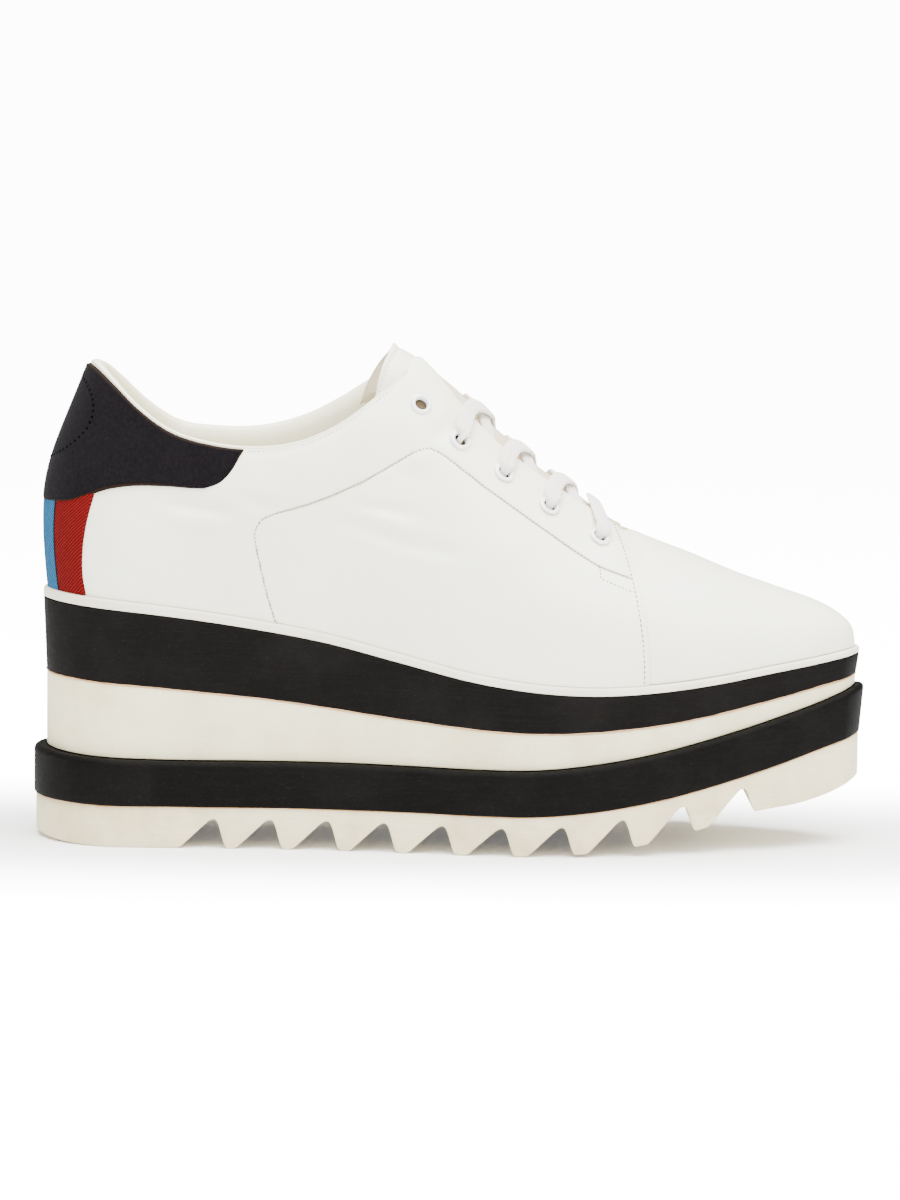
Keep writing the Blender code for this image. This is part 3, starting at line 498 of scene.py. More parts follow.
# ---------- node trees
class Tree:
    """Short way to add nodes to a tree and wire them."""

    def __init__(self, tree: NodeTree) -> None:
        """Keep the tree."""
        self.tree = tree

    def wire(self, node: Node, wires: dict) -> None:
        """Set or link a node's inputs, given by name or number; a colour is a triple."""
        for key, value in wires.items():
            socket = node.inputs[key]
            if isinstance(value, Socket):
                self.tree.links.new(value, socket)
            else:
                socket.default_value = (*value, 1.0) if socket.type == "RGBA" else value

    def add(self, kind: str, wires: dict | None = None, **options: object) -> Node:
        """Add a node.

        Args:
            kind: the node's type name.
            wires: for each input, by name or number, a value or a socket to link.
            options: properties set on the node.

        Returns:
            The new node.
        """
        node = self.tree.nodes.new(kind)
        for name, value in options.items():
            setattr(node, name, value)
        self.wire(node, wires or {})
        return node

    def get(self, kind: str, wires: dict | None = None, **options: object) -> Socket:
        """First output of a node added in the same way."""
        return self.add(kind, wires, **options).outputs[0]

    def socket(self, name: str, kind: str, way: str = "INPUT") -> NodeTreeInterfaceSocket:
        """Add a socket to the face of a node group."""
        return self.tree.interface.new_socket(name, in_out=way, socket_type="NodeSocket" + kind)

    def math(self, operation: str, a: Value, b: Value = 0.0, c: Value = 0.0) -> Socket:
        """Result of a Math node."""
        return self.get("ShaderNodeMath", {0: a, 1: b, 2: c}, operation=operation)

    def times(self, a: Value, b: Value) -> Socket:
        """Product of two numbers."""
        return self.math("MULTIPLY", a, b)

    def times_plus(self, a: Value, b: Value, c: Value) -> Socket:
        """Product of two numbers and a third added."""
        return self.math("MULTIPLY_ADD", a, b, c)

    def band(self, value: Socket, low: float, high: float, to: Pair = (0.0, 1.0)) -> Socket:
        """Soft step of a value between two marks."""
        return self.get("ShaderNodeMapRange", {"Value": value, "From Min": low, "From Max": high,
                                               "To Min": to[0], "To Max": to[1]},
                        interpolation_type="SMOOTHSTEP")

    def mix(self, share: Value, a: Colour | Socket, b: Colour | Socket) -> Socket:
        """Mixed colour."""
        node = self.add("ShaderNodeMix", {0: share, 6: a, 7: b}, data_type="RGBA")
        return node.outputs[2]

    def noise(self, vector: Socket, scale: Value, detail: float = 2.0,
              rough: float = 0.5) -> Socket:
        """Value of a noise texture."""
        return self.get("ShaderNodeTexNoise", {"Vector": vector, "Scale": scale, "Detail": detail,
                                               "Roughness": rough})

    def stretch(self, vector: Socket, scale: tuple[float, float, float]) -> Socket:
        """Coordinates scaled by axis."""
        return self.get("ShaderNodeMapping", {"Vector": vector, "Scale": scale})


def new_material(name: str) -> tuple[Material, Tree, Node]:
    """New material, its tree and its Principled shader."""
    material = bpy.data.materials.new(name)
    material.use_nodes = True
    return material, Tree(material.node_tree), material.node_tree.nodes["Principled BSDF"]


class Effect(Tree):
    """A shader node group that reads coordinates and numbers, and puts out numbers."""

    def __init__(self, name: str, outputs: Sequence[str], **inputs: float) -> None:
        """Start the group.

        Args:
            name: the group's name.
            outputs: names of its outputs.
            inputs: its number inputs with their defaults, besides Vector.
        """
        super().__init__(bpy.data.node_groups.new(name, "ShaderNodeTree"))
        self.socket("Vector", "Vector")
        for key, value in inputs.items():
            self.socket(key, "Float").default_value = value
        for key in outputs:
            self.socket(key, "Float", "OUTPUT")
        self.given = self.add("NodeGroupInput").outputs
        self.results = self.add("NodeGroupOutput")

    def done(self, **results: Socket) -> NodeTree:
        """Wire the outputs and give the group."""
        self.wire(self.results, results)
        return self.tree


@cache
def leather_grain() -> NodeTree:
    """Pebbled grain with fine pores, and a broad soft mottle."""
    tree = Effect("leather_grain", ("Height", "Mottle"), Scale=900.0)
    vector, scale = tree.given["Vector"], tree.given["Scale"]
    cells = tree.get("ShaderNodeTexVoronoi", {"Vector": vector, "Scale": scale},
                     feature="SMOOTH_F1")
    pores = tree.noise(vector, tree.times(scale, 2.6), 3.0, 0.6)
    return tree.done(Height=tree.times_plus(pores, 0.45, cells),
                     Mottle=tree.band(tree.noise(vector, 26.0, 3.0, 0.55), 0.35, 0.7))


@cache
def foam_grain() -> NodeTree:
    """Skin of moulded foam: fine cells, faint level drag lines and blotches."""
    tree = Effect("foam_grain", ("Height", "Mottle", "Lines"), Scale=1300.0)
    vector = tree.given["Vector"]
    cells = tree.noise(vector, tree.given["Scale"], 2.0, 0.65)
    drag = tree.noise(tree.stretch(vector, (60.0, 60.0, 1500.0)), 1.0, 3.0, 0.6)
    return tree.done(Height=tree.times_plus(drag, 0.7, cells),
                     Mottle=tree.band(tree.noise(vector, 38.0, 4.0, 0.6), 0.42, 0.72),
                     Lines=tree.band(drag, 0.45, 0.75))


@cache
def suede_nap() -> NodeTree:
    """Short nap brushed in patches."""
    tree = Effect("suede_nap", ("Height", "Mottle"), Scale=2400.0)
    vector = tree.given["Vector"]
    lean = tree.noise(tree.stretch(vector, (1.0, 1.0, 0.6)), 1100.0, 4.0, 0.7)
    patch = tree.times_plus(tree.noise(vector, 90.0, 2.0), 0.35, lean)
    return tree.done(Height=tree.noise(vector, tree.given["Scale"], 4.0, 0.7),
                     Mottle=tree.band(patch, 0.5, 0.9))


@cache
def woven() -> NodeTree:
    """Ribs of a weave on a piece's own UV, in millimetres: u across and v along."""
    tree = Effect("woven", ("Height", "Ribs"), Pitch=0.7, Slant=0.5, Cross=0.5)
    across, along = tree.add("ShaderNodeSeparateXYZ", {0: tree.given["Vector"]}).outputs[:2]
    turn = tree.math("DIVIDE", 2 * pi, tree.given["Pitch"])
    slanted = tree.times_plus(across, tree.given["Slant"], along)
    ribs = tree.math("SINE", tree.times(slanted, turn))
    threads = tree.math("SINE", tree.times(across, tree.times(turn, 1.3)))
    crossed = tree.times(threads, tree.given["Cross"])
    ribs = tree.times_plus(ribs, 0.5, 0.5)
    return tree.done(Height=tree.times_plus(crossed, 0.3, ribs), Ribs=ribs)


class Surface(Enum):
    """Kinds of surface that a finish can have."""

    LEATHER = "leather"
    FOAM = "foam"
    SUEDE = "suede"
    WEAVE = "weave"
    HARD = "hard"


@dataclass(frozen=True)
class Finish:
    """One finish: its colours, gloss and grain, and the material made from them."""

    name: str
    surface: Surface
    colour: Colour
    tone: Colour
    roughness: float
    scale: float = 900.0
    bump: float = 0.05
    sheen: float = 0.0
    coat: float = 0.0
    specular: float = 0.5
    stain: Colour | None = None
    stain_to: float = 0.0
    seam: Colour | None = None
    slant: float = 0.6
    stripes: tuple[Colour, ...] = ()

    @cache
    def material(self) -> Material:
        """The finish's material, made once."""
        material, tree, shader = new_material(self.name)
        material.diffuse_color = (*self.colour, 1.0)
        place = tree.add("ShaderNodeTexCoord")
        vector = place.outputs["Object"]
        colour, height, mottle = self.pattern(tree, place)
        if self.stain:
            up = tree.add("ShaderNodeSeparateXYZ", {0: vector}).outputs[2]
            low = tree.band(up, self.stain_to, 0.0)
            patch = tree.band(tree.noise(vector, 55.0, 5.0, 0.65), 0.42, 0.75)
            streaks = tree.noise(tree.stretch(vector, (1.0, 1.0, 5.0)), 120.0, 3.0)
            marks = tree.times_plus(tree.band(streaks, 0.55, 0.8), 0.35, patch)
            colour = tree.mix(tree.times(low, marks), colour, self.stain)
        # Where the "seam" mark is low, the colour turns to the seam colour and the bump dips:
        # painted shade in the upper's seam grooves and on the tongue under the laces, the tongue
        # lining's tan, and the suede counter's own browner folded edge.
        if self.seam:
            line = tree.add("ShaderNodeAttribute", attribute_name="seam").outputs["Fac"]
            groove = tree.band(line, SEAM_HALF, SEAM_HALF * 0.3)
            colour = tree.mix(tree.times(groove, 0.75), colour, self.seam)
            height = tree.times_plus(groove, -4.0, height)
        bump = tree.get("ShaderNodeBump", {"Height": height, "Distance": self.bump * MM,
                                           "Strength": 1.0})
        tree.wire(shader, {
            "Base Color": colour, "Normal": bump, "Specular IOR Level": self.specular,
            "Roughness": tree.times_plus(mottle, 0.08, self.roughness - 0.04),
            "Sheen Weight": self.sheen, "Sheen Roughness": 0.5,
            "Coat Weight": self.coat, "Coat Roughness": 0.15})
        return material

    def pattern(self, tree: Tree, place: Node) -> tuple[Socket, Socket, Socket]:
        """Colour, height and mottle of the finish's surface.

        Args:
            tree: the material's tree.
            place: its Texture Coordinate node.

        Returns:
            The colour, height and mottle sockets.
        """
        vector = place.outputs["Object"]
        if self.surface is Surface.HARD:
            mottle = tree.band(tree.noise(vector, 220.0, 3.0), 0.4, 0.8)
            return tree.mix(mottle, self.colour, self.tone), mottle, mottle
        if self.surface is Surface.WEAVE:
            uv = place.outputs["UV"]
            weave = tree.add("ShaderNodeGroup", {"Vector": uv, "Pitch": self.scale,
                                                 "Slant": self.slant}, node_tree=woven()).outputs
            base, tone = self.colour, self.tone
            if self.stripes:
                base = self.striped(tree, uv)
                tone = tree.mix(1.0, base, tone)
            gaps = tree.times(tree.math("SUBTRACT", 1.0, weave["Ribs"]), 0.75)
            fuzz = tree.times_plus(tree.noise(vector, 3000.0), 0.4, weave["Height"])
            return tree.mix(gaps, base, tone), fuzz, weave["Ribs"]
        grain = {Surface.LEATHER: leather_grain, Surface.FOAM: foam_grain,
                 Surface.SUEDE: suede_nap}[self.surface]()
        marks = tree.add("ShaderNodeGroup", {"Vector": vector, "Scale": self.scale},
                         node_tree=grain).outputs
        colour = tree.mix(marks["Mottle"], self.colour, self.tone)
        if self.surface is Surface.FOAM:
            colour = tree.mix(tree.times(marks["Lines"], 0.5), colour, self.tone)
        return colour, marks["Height"], marks["Mottle"]

    def striped(self, tree: Tree, uv: Socket) -> Socket:
        """Stripes of the heel ribbon, by the distance from its middle line."""
        across = tree.math("ABSOLUTE", tree.get("ShaderNodeSeparateXYZ", {0: uv}))
        middle, line, outside = self.stripes
        edge = tree.band(across, RIBBON_BLUE - 0.15, RIBBON_BLUE + 0.15)
        beyond = tree.band(across, RIBBON_BLUE + 0.75, RIBBON_BLUE + 1.05)
        return tree.mix(beyond, tree.mix(edge, middle, line), outside)


SEAM_HALF = 0.55
RIBBON_BLUE = 17.5
RIBBON_COLOURS = ((0.026, 0.135, 0.27), (0.010, 0.003, 0.003), (0.150, 0.0060, 0.0058))

# The white leather's seam colour is painted shade along each seam's groove.
LEATHER_WHITE = Finish("leather_white", Surface.LEATHER, (0.86, 0.85, 0.725), (0.83, 0.81, 0.67),
                       0.4, scale=1500, bump=0.035, seam=(0.3, 0.26, 0.19))
LEATHER_LINING = Finish("leather_lining", Surface.LEATHER, (0.82, 0.78, 0.58), (0.76, 0.71, 0.49),
                        0.55, scale=1900, bump=0.03)
# The tongue's seam colour is tan: painted shade on the outer face under the laces and facings, and
# on the inner face the lining's own tan with painted shade.
LEATHER_TONGUE = Finish("leather_tongue", Surface.LEATHER, (0.85, 0.83, 0.7), (0.82, 0.79, 0.65),
                        0.42, scale=1300, bump=0.05, seam=(0.6, 0.47, 0.32))
LEATHER_EDGE = Finish("leather_edge", Surface.LEATHER, (0.62, 0.5, 0.34), (0.5, 0.39, 0.25), 0.65,
                      scale=2600, bump=0.08)
SUEDE = Finish("suede_charcoal", Surface.SUEDE, (0.004, 0.0033, 0.0042), (0.0066, 0.0055, 0.0066),
               0.95, scale=2600, bump=0.16, sheen=0.02, specular=0.02, seam=(0.016, 0.009, 0.005))
TWILL = Finish("twill_striped", Surface.WEAVE, RIBBON_COLOURS[2], (0.004, 0.0008, 0.0008), 0.88,
               scale=1.15, bump=0.16, specular=0.04, slant=0.8, stripes=RIBBON_COLOURS)
COTTON = Finish("cotton_flat_weave", Surface.WEAVE, (0.85, 0.82, 0.75), (0.66, 0.62, 0.54), 0.85,
                scale=3.6, bump=0.16, sheen=0.2, slant=3)
# Upper stitching thread: its dark brown is painted shade of the stitch holes on a pale thread.
THREAD = Finish("thread_brown_painted_shade", Surface.HARD, (0.17, 0.145, 0.105), (0.12, 0.1, 0.07), 0.8,
                specular=0.2)
THREAD_WHITE = Finish("thread_ecru", Surface.HARD, (0.6, 0.55, 0.45), (0.5, 0.45, 0.36), 0.7)
ENAMEL = Finish("eyelet_white_enamel", Surface.HARD, (0.86, 0.86, 0.85), (0.8, 0.8, 0.78), 0.24,
                bump=0.004, coat=0.6)
FOAM_LIGHT = Finish("foam_ivory", Surface.FOAM, (0.74, 0.68, 0.44), (0.65, 0.58, 0.35), 0.72,
                    bump=0.1, stain=(0.52, 0.44, 0.31), stain_to=0.062)
FOAM_DARK = Finish("foam_black", Surface.FOAM, (0.0027, 0.0023, 0.002), (0.0052, 0.0046, 0.0041),
                   0.7, bump=0.13, specular=0.05)
RUBBER_BAND = Finish("rubber_black", Surface.FOAM, (0.0015, 0.0013, 0.0011),
                     (0.0036, 0.0032, 0.0028), 0.66, bump=0.12, specular=0.05)
RUBBER_TREAD = Finish("rubber_cream", Surface.FOAM, (0.69, 0.62, 0.39), (0.59, 0.5, 0.29), 0.66,
                      bump=0.12, stain=(0.5, 0.4, 0.24), stain_to=0.045)
WELT_WHITE = Finish("welt_white", Surface.FOAM, (0.74, 0.69, 0.56), (0.69, 0.63, 0.5), 0.5,
                    scale=1600, bump=0.04)
GLUE = Finish("glue_amber", Surface.HARD, (0.42, 0.24, 0.1), (0.26, 0.13, 0.05), 0.45)
# Near-black pinhole marks on the suede: painted shade of the holes.
PINHOLE = Finish("pinhole_painted_shade", Surface.HARD, (0.0006, 0.0005, 0.0006), (0.001, 0.001, 0.001), 1,
                 specular=0)
# Dark floor of each eyelet's barrel: painted shade inside the hole.
HOLE_SHADE = Finish("eyelet_shade", Surface.HARD, (0.1, 0.075, 0.045), (0.06, 0.045, 0.03), 0.9,
                    specular=0.1)


# ---------- meshes
def link(name: str, data: bpy.types.ID | None) -> Object:
    """New object in the scene."""
    item = bpy.data.objects.new(name, data)
    bpy.context.scene.collection.objects.link(item)
    return item


def mark(mesh: Mesh, name: str, values: Array) -> None:
    """Store a number or a vector for each vertex."""
    values = np.asarray(values, np.float32)
    kind, key = ("FLOAT", "value") if values.ndim == 1 else ("FLOAT_VECTOR", "vector")
    mesh.attributes.new(name, kind, "POINT").data.foreach_set(key, values.ravel())


@contextmanager
def editing(mesh: Mesh) -> Iterator[bmesh.types.BMesh]:
    """Edit a mesh with bmesh and write it back."""
    build = bmesh.new()
    build.from_mesh(mesh)
    yield build
    build.to_mesh(mesh)
    build.free()


def make_mesh(name: str, points: Array, faces: Sequence, finishes: Sequence[Finish], *,
              sharp: float = 42.0, uv: Array | None = None,
              seam: Array | None = None) -> Object:
    """Mesh object from points in shoe millimetres.

    Args:
        name: name of the object.
        points: one row for each vertex.
        faces: vertex numbers of each face.
        finishes: finishes of its material slots.
        sharp: angle in degrees past which an edge is shown sharp.
        uv: a UV pair for each vertex.
        seam: distance of each vertex from a seam.

    Returns:
        The linked object.
    """
    mesh = bpy.data.meshes.new(name)
    faces = faces.tolist() if isinstance(faces, Array) else list(faces)
    mesh.from_pydata(world(points).tolist(), [], faces)
    for finish in finishes:
        mesh.materials.append(finish.material())
    if uv is not None:
        layer = mesh.uv_layers.new(name="UVMap")
        order = np.empty(len(mesh.loops), np.int32)
        mesh.loops.foreach_get("vertex_index", order)
        layer.data.foreach_set("uv", np.asarray(uv, np.float32)[order].ravel())
    if seam is not None:
        mark(mesh, "seam", seam)
    item = link(name, mesh)
    tidy_mesh(item, sharp)
    return item


def tidy_mesh(item: Object, sharp: float) -> None:
    """Merge doubles, drop faces without area, point the faces outwards and shade them smooth."""
    with editing(item.data) as build:
        bmesh.ops.remove_doubles(build, verts=build.verts, dist=1e-6)
        bmesh.ops.dissolve_degenerate(build, edges=build.edges, dist=1e-6)
        bmesh.ops.recalc_face_normals(build, faces=build.faces)
    item.data.shade_smooth()
    item.data.set_sharp_from_angle(angle=radians(sharp))


def grid_faces(columns: int, rows: int, around: bool = False, start: int = 0) -> Array:
    """Quads of a grid stored column after column.

    Args:
        columns: number of columns.
        rows: number of rows in a column.
        around: join the last row of a column to its first.
        start: number of the first vertex.

    Returns:
        Vertex numbers, one row for each face.
    """
    c = np.arange(columns - 1)[:, None] * rows
    r = np.arange(rows if around else rows - 1)[None, :]
    n = (r + 1) % rows
    quads = np.stack([c + r, c + n, c + rows + n, c + rows + r], -1)
    return quads.reshape(-1, 4) + start


def closed_tube(name: str, columns: Array, finish: Finish, **extra: object) -> Object:
    """Solid swept through closed rings, with both ends capped.

    Args:
        name: name of the object.
        columns: rings of points, in order.
        finish: its finish.
        extra: further settings for make_mesh.

    Returns:
        The object.
    """
    count, rows = columns.shape[:2]
    faces = grid_faces(count, rows, around=True).tolist()
    faces += [tuple(range(rows))[::-1], tuple((count - 1) * rows + r for r in range(rows))]
    return make_mesh(name, columns.reshape(-1, 3), faces, [finish], **extra)


def closed_loft(name: str, rings: Sequence[Array], finish: Finish, **extra: object) -> Object:
    """Solid through the sole's rings; each end is closed with strips from side to side."""
    count = len(rings[0])
    faces = grid_faces(len(rings), count, around=True).tolist()
    for base in (0, (len(rings) - 1) * count):
        for i in range(count // 2):
            corners = (i, i + 1, (count - i - 1) % count, (count - i) % count)
            strip = tuple(dict.fromkeys(base + corner for corner in corners))
            if len(strip) > 2:
                faces.append(strip)
    return make_mesh(name, np.concatenate(rings), faces, [finish], **extra)


def modifier(item: Object, kind: str, **settings: object) -> Modifier:
    """Add a modifier with its settings."""
    made = item.modifiers.new(kind.lower(), kind)
    for name, value in settings.items():
        setattr(made, name, value)
    return made


def applied(item: Object) -> Object:
    """Turn an object's modifiers into plain mesh."""
    bpy.context.view_layer.update()
    graph = bpy.context.evaluated_depsgraph_get()
    mesh = bpy.data.meshes.new_from_object(item.evaluated_get(graph))
    item.modifiers.clear()
    item.data = mesh
    return item


def fit(item: Object, slot: str, *nodes: str) -> Object:
    """Ride the shoe's body and stand for CAD nodes."""
    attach(item, BODY)
    if nodes:
        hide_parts(*nodes)
    LOG.info("%s: %d faces, stands for %s", item.name, len(item.data.polygons),
             ", ".join(nodes) or "nothing")
    return item


def gauss(distance: Array, width: float) -> Array:
    """Bell curve of a distance."""
    return np.exp(-(np.asarray(distance) / width) ** 2)


def to_line(points: Array, path: Path) -> tuple[Array, Array]:
    """Nearest distance from points to a polyline, and the share of its length reached there.

    Args:
        points: array of (station, height).
        path: corners of the polyline, as (station, height).

    Returns:
        Distances and shares.
    """
    path = np.asarray(path, float)
    done = lengths(path)
    best = np.full(points.shape[:-1], 1e9)
    share = np.zeros(points.shape[:-1])
    for k, run in enumerate(np.linalg.norm(np.diff(path, axis=0), axis=1)):
        along = (path[k + 1] - path[k]) / run
        t = np.clip((points - path[k]) @ along, 0.0, run)
        away = np.linalg.norm(points - path[k] - t[..., None] * along, axis=-1)
        share = np.where(away < best, (done[k] + t) / done[-1], share)
        best = np.minimum(best, away)
    return best, share


def resample(points: Array, step: float) -> Array:
    """Points at even steps along a polyline."""
    done = lengths(points)
    at = np.linspace(0.0, done[-1], max(int(round(done[-1] / step)), 2) + 1)
    return np.stack([np.interp(at, done, values) for values in points.T], -1)


# ---------- sole
def layer_top(name: str) -> Curve:
    """Height curve of one layer's top."""
    return lambda station: column(LEVELS, name, station)


def sole_ring(stations: Array, inset: Pair, more: float, height: Curve) -> Array:
    """Closed ring of the sole: the lateral side from heel to toe, and the medial side back.

    Args:
        stations: stations of the ring's points, the same on both sides.
        inset: insets from the widest layer at the heel and at the toe.
        more: inset added all round.
        height: height over the floor by station.

    Returns:
        The ring's points.
    """
    halves = []
    for side in Side:
        xy, _ = plan(side, stations, blend(inset, stations) + more)
        halves.append(np.column_stack([xy, height(xy[:, 0])]))
    return np.concatenate([halves[0], halves[1][-2:0:-1]])


def even_stations(count: int) -> Array:
    """Stations close together round the heel and the toe."""
    return LENGTH * (1 - np.cos(np.linspace(0.0, pi, count))) / 2


def foot_rings(stations: Array, inset: Pair, radius: float,
               height: Curve, turns: int = 4) -> list[Array]:
    """Rings round the rounded lower edge of a layer.

    Args:
        stations: stations of the rings' points.
        inset: insets at the heel and at the toe.
        radius: radius of the edge.
        height: height of the layer's foot by station.
        turns: number of rings.

    Returns:
        The rings, from the lowest up.
    """
    return [sole_ring(stations, inset, radius * (1 - sin(turn)), height)
            + (0, 0, radius * (1 - cos(turn))) for turn in np.linspace(0.0, pi / 2, turns)]


def between(low: Array, high: Array, shares: Sequence[float]) -> list[Array]:
    """Rings part of the way from one ring to another."""
    return [low * (1 - t) + high * t for t in shares]


@dataclass(frozen=True)
class Layer:
    """One layer of the sole, between two height curves, with rounded edges."""

    node: str
    slot: str
    finish: Finish
    foot: Curve
    top: Curve
    foot_inset: Pair
    top_inset: Pair
    lip: float
    foot_lip: float = 0.4
    gap: float = GAP
    columns: int = 260
    turns: int = 7

    def build(self) -> Object:
        """Loft the layer's rings and dress it."""
        stations = even_stations(self.columns)
        rings = foot_rings(stations, self.foot_inset, self.foot_lip, self.foot)
        lips = [sole_ring(stations, self.top_inset, self.lip * (1 - cos(turn)), self.top)
                - (0, 0, self.gap + self.lip * (1 - sin(turn)))
                for turn in np.linspace(0.0, pi / 2, self.turns)]
        rings += between(rings[-1], lips[0], (0.25, 0.5, 0.75)) + lips
        item = closed_loft(self.node + "_skin", rings, self.finish, sharp=50.0)
        return fit(item, self.slot, self.node)


@dataclass
class Tread:
    """Cream rubber tread: a flat heel block, then saw-tooth lugs that follow the toe spring."""

    flat_to: float = 170.0
    flat_from: float = 24.0
    lug_count: int = 10
    lug_first: float = 67.0
    lug_pitch: float = 19.65
    lug_flat: float = 4.4
    lug_face: float = 3.4
    lug_sway: float = 2.1
    lug_roof: float = 4.0
    lug_round: float = 2.3
    lug_shoulder: float = 0.91
    corner: float = 0.7
    soften: float = 0.85
    step: float = 0.5
    fine: Pair = (50.0, 252.0)
    columns: int = 300

    def notch_marks(self) -> Array:
        """Stations and depth shares of the saw-tooth underside."""
        marks = []
        for k in range(self.lug_count):
            sway = self.lug_sway * sin(pi * k / (self.lug_count - 1))
            face = self.lug_first + k * self.lug_pitch - sway
            peak = face - self.lug_face
            start, end = face - self.lug_pitch + self.lug_flat, peak - self.lug_round
            marks += [(start, 0.0), (end, self.lug_shoulder), (peak - self.lug_round * 0.4, 1.0),
                      (peak + self.lug_round * 0.2, 1.0), (peak + self.lug_round * 0.5, 0.90),
                      (face, 0.0)]
        return np.array(marks)

    def underside(self, station: Array) -> Array:
        """Height of the underside, with its corners worn soft."""
        marks = self.notch_marks().T
        offsets = np.linspace(-2.0, 2.0, 9)
        weights = np.exp(-offsets ** 2)
        share = sum(w * np.interp(station + d * self.soften, *marks)
                    for d, w in zip(offsets, weights)) / weights.sum()
        level = (station >= self.flat_from) & (station <= self.flat_to)
        ground = np.where(level, 0.0, np.maximum(pairs(GROUND, station), 0.0))
        roof = column(LEVELS, "tread", station) - self.lug_roof
        return ground + (roof - ground) * share

    def build(self) -> Object:
        """Loft the tread between its underside and the band."""
        ends = even_stations(self.columns)
        low, high = self.fine
        middle = np.arange(low, high, self.step)
        stations = np.concatenate([ends[ends < low - 0.4], middle, ends[ends > high + 0.4]])
        rings = foot_rings(stations, TREAD_INSET, self.corner, self.underside)
        roof = layer_top("tread")
        top = sole_ring(stations, TREAD_INSET, 0.0, lambda s: roof(s) - GAP)
        rings += between(rings[-1], top, (0.3, 0.65, 1.0))
        rings.append(sole_ring(stations, TREAD_INSET, 0.3, roof))
        item = closed_loft("outsole_tread_skin", rings, RUBBER_TREAD, sharp=60.0)
        return fit(item, "tread_rubber", "outsole_tread")


@dataclass(frozen=True)
class GlueLine:
    """Thin bead of glue squeezed out under a layer, with a hand-laid wander."""

    name: str
    height: Curve
    inset: Pair
    slot: str
    radius: float = 0.28
    wander: float = 0.10
    uneven: float = 0.35
    sides: int = 6

    def build(self) -> Object:
        """Sweep the bead round the sole."""
        ring = sole_ring(even_stations(220), self.inset, 0.0, self.height)
        count = len(ring)
        turn = np.arange(count) / count * 2 * pi
        size = self.radius * (1 + self.uneven * np.sin(turn * 23) * np.sin(turn * 41 + 1.0))
        ring[:, 2] += self.wander * np.sin(turn * 17 + 0.5)
        ahead = np.roll(ring, -1, axis=0) - np.roll(ring, 1, axis=0)
        out = unit(np.cross(ahead, (0.0, 0.0, 1.0)))
        tube = np.stack([ring + size[:, None] * (out * cos(a) + np.array((0, 0, sin(a))))
                         for a in np.arange(self.sides) * 2 * pi / self.sides], 1)
        tube = np.concatenate([tube, tube[:1]])
        faces = grid_faces(count + 1, self.sides, around=True)
        return fit(make_mesh(self.name, tube.reshape(-1, 3), faces, [GLUE]), self.slot)


class Sole:
    """All the layers from the tread to the welt."""

    def build(self) -> None:
        """Build and dress each layer."""
        tread, band, white, black = map(layer_top, ("tread", "band", "white", "black"))
        Tread().build()
        Layer("outsole_band", "band_rubber", RUBBER_BAND, tread, band, BAND_FOOT_INSET,
              BAND_TOP_INSET, lip=2.2, foot_lip=0.6, turns=9).build()
        Layer("midsole_white", "light_foam", FOAM_LIGHT, band, white, WHITE_INSET, WHITE_INSET,
              lip=0.5, gap=0.05).build()
        Layer("midsole_black", "dark_foam", FOAM_DARK, white, black, BLACK_FOOT_INSET,
              BLACK_TOP_INSET, lip=0.7, gap=0.05).build()
        Layer("welt", "welt_edge", WELT_WHITE, black, welt_top, WELT_INSET, WELT_INSET,
              lip=1.25, foot_lip=0.5, gap=-GAP).build()
        GlueLine("glue_under_black", white, (WHITE_INSET[0] - 0.05, WHITE_INSET[1] - 0.1),
                 "dark_foam").build()
        GlueLine("glue_under_band", lambda s: tread(s) - 0.1,
                 (TREAD_INSET[0] + 0.1, TREAD_INSET[1]), "band_rubber", radius=0.2).build()


# ---------- upper: seams, folds and walls
COLLAR_SEAM = ((76.3, 106.5), (78.5, 110.2), (83.8, 112.4), (93.2, 115), (101.6, 118.1),
               (111.9, 122.8), (120.1, 127.6), (128.6, 132.6), (133.4, 134.4))
STAY_SEAM = ((133.4, 134.4), (137.3, 132.9), (142.7, 129), (152.4, 121.4), (167.4, 110.9),
             (182.2, 100.8), (191, 95.1), (201.4, 91.3))
BACK_SEAM = ((85.5, 70), (83.7, 75.5), (80.6, 85), (78.2, 95.3), (76.6, 102), (76.3, 106.5))
TAB_SEAM = ((191, 95.1), (191.3, 91.4), (196.4, 89.2), (201.2, 87.3))
FRONT_STITCH = 1.7
RIM_STITCH = (74.5, 119.6)
RIM_SHARE = 1.0 - 1.6 / 84.0
NO_SEAM = 99.0


@dataclass(frozen=True)
class Fold:
    """A soft trough (depth above 0) or ridge (below 0) along a line of (station, height)."""

    path: Path
    width: float
    depth: float
    peak: float = 0.5
    sides: tuple[Side, ...] = (Side.LATERAL,)

    def offset(self, points: Array) -> Array:
        """How far the fold moves each point outward."""
        away, share = to_line(points, self.path)
        rise = np.where(share < self.peak, share / self.peak, (1 - share) / (1 - self.peak))
        reach = ease(rise * 1.3)
        trough = gauss(away, self.width)
        shoulder = gauss(away - 2.1 * self.width, self.width * 1.1)
        return -self.depth * reach * (trough - 0.32 * shoulder)


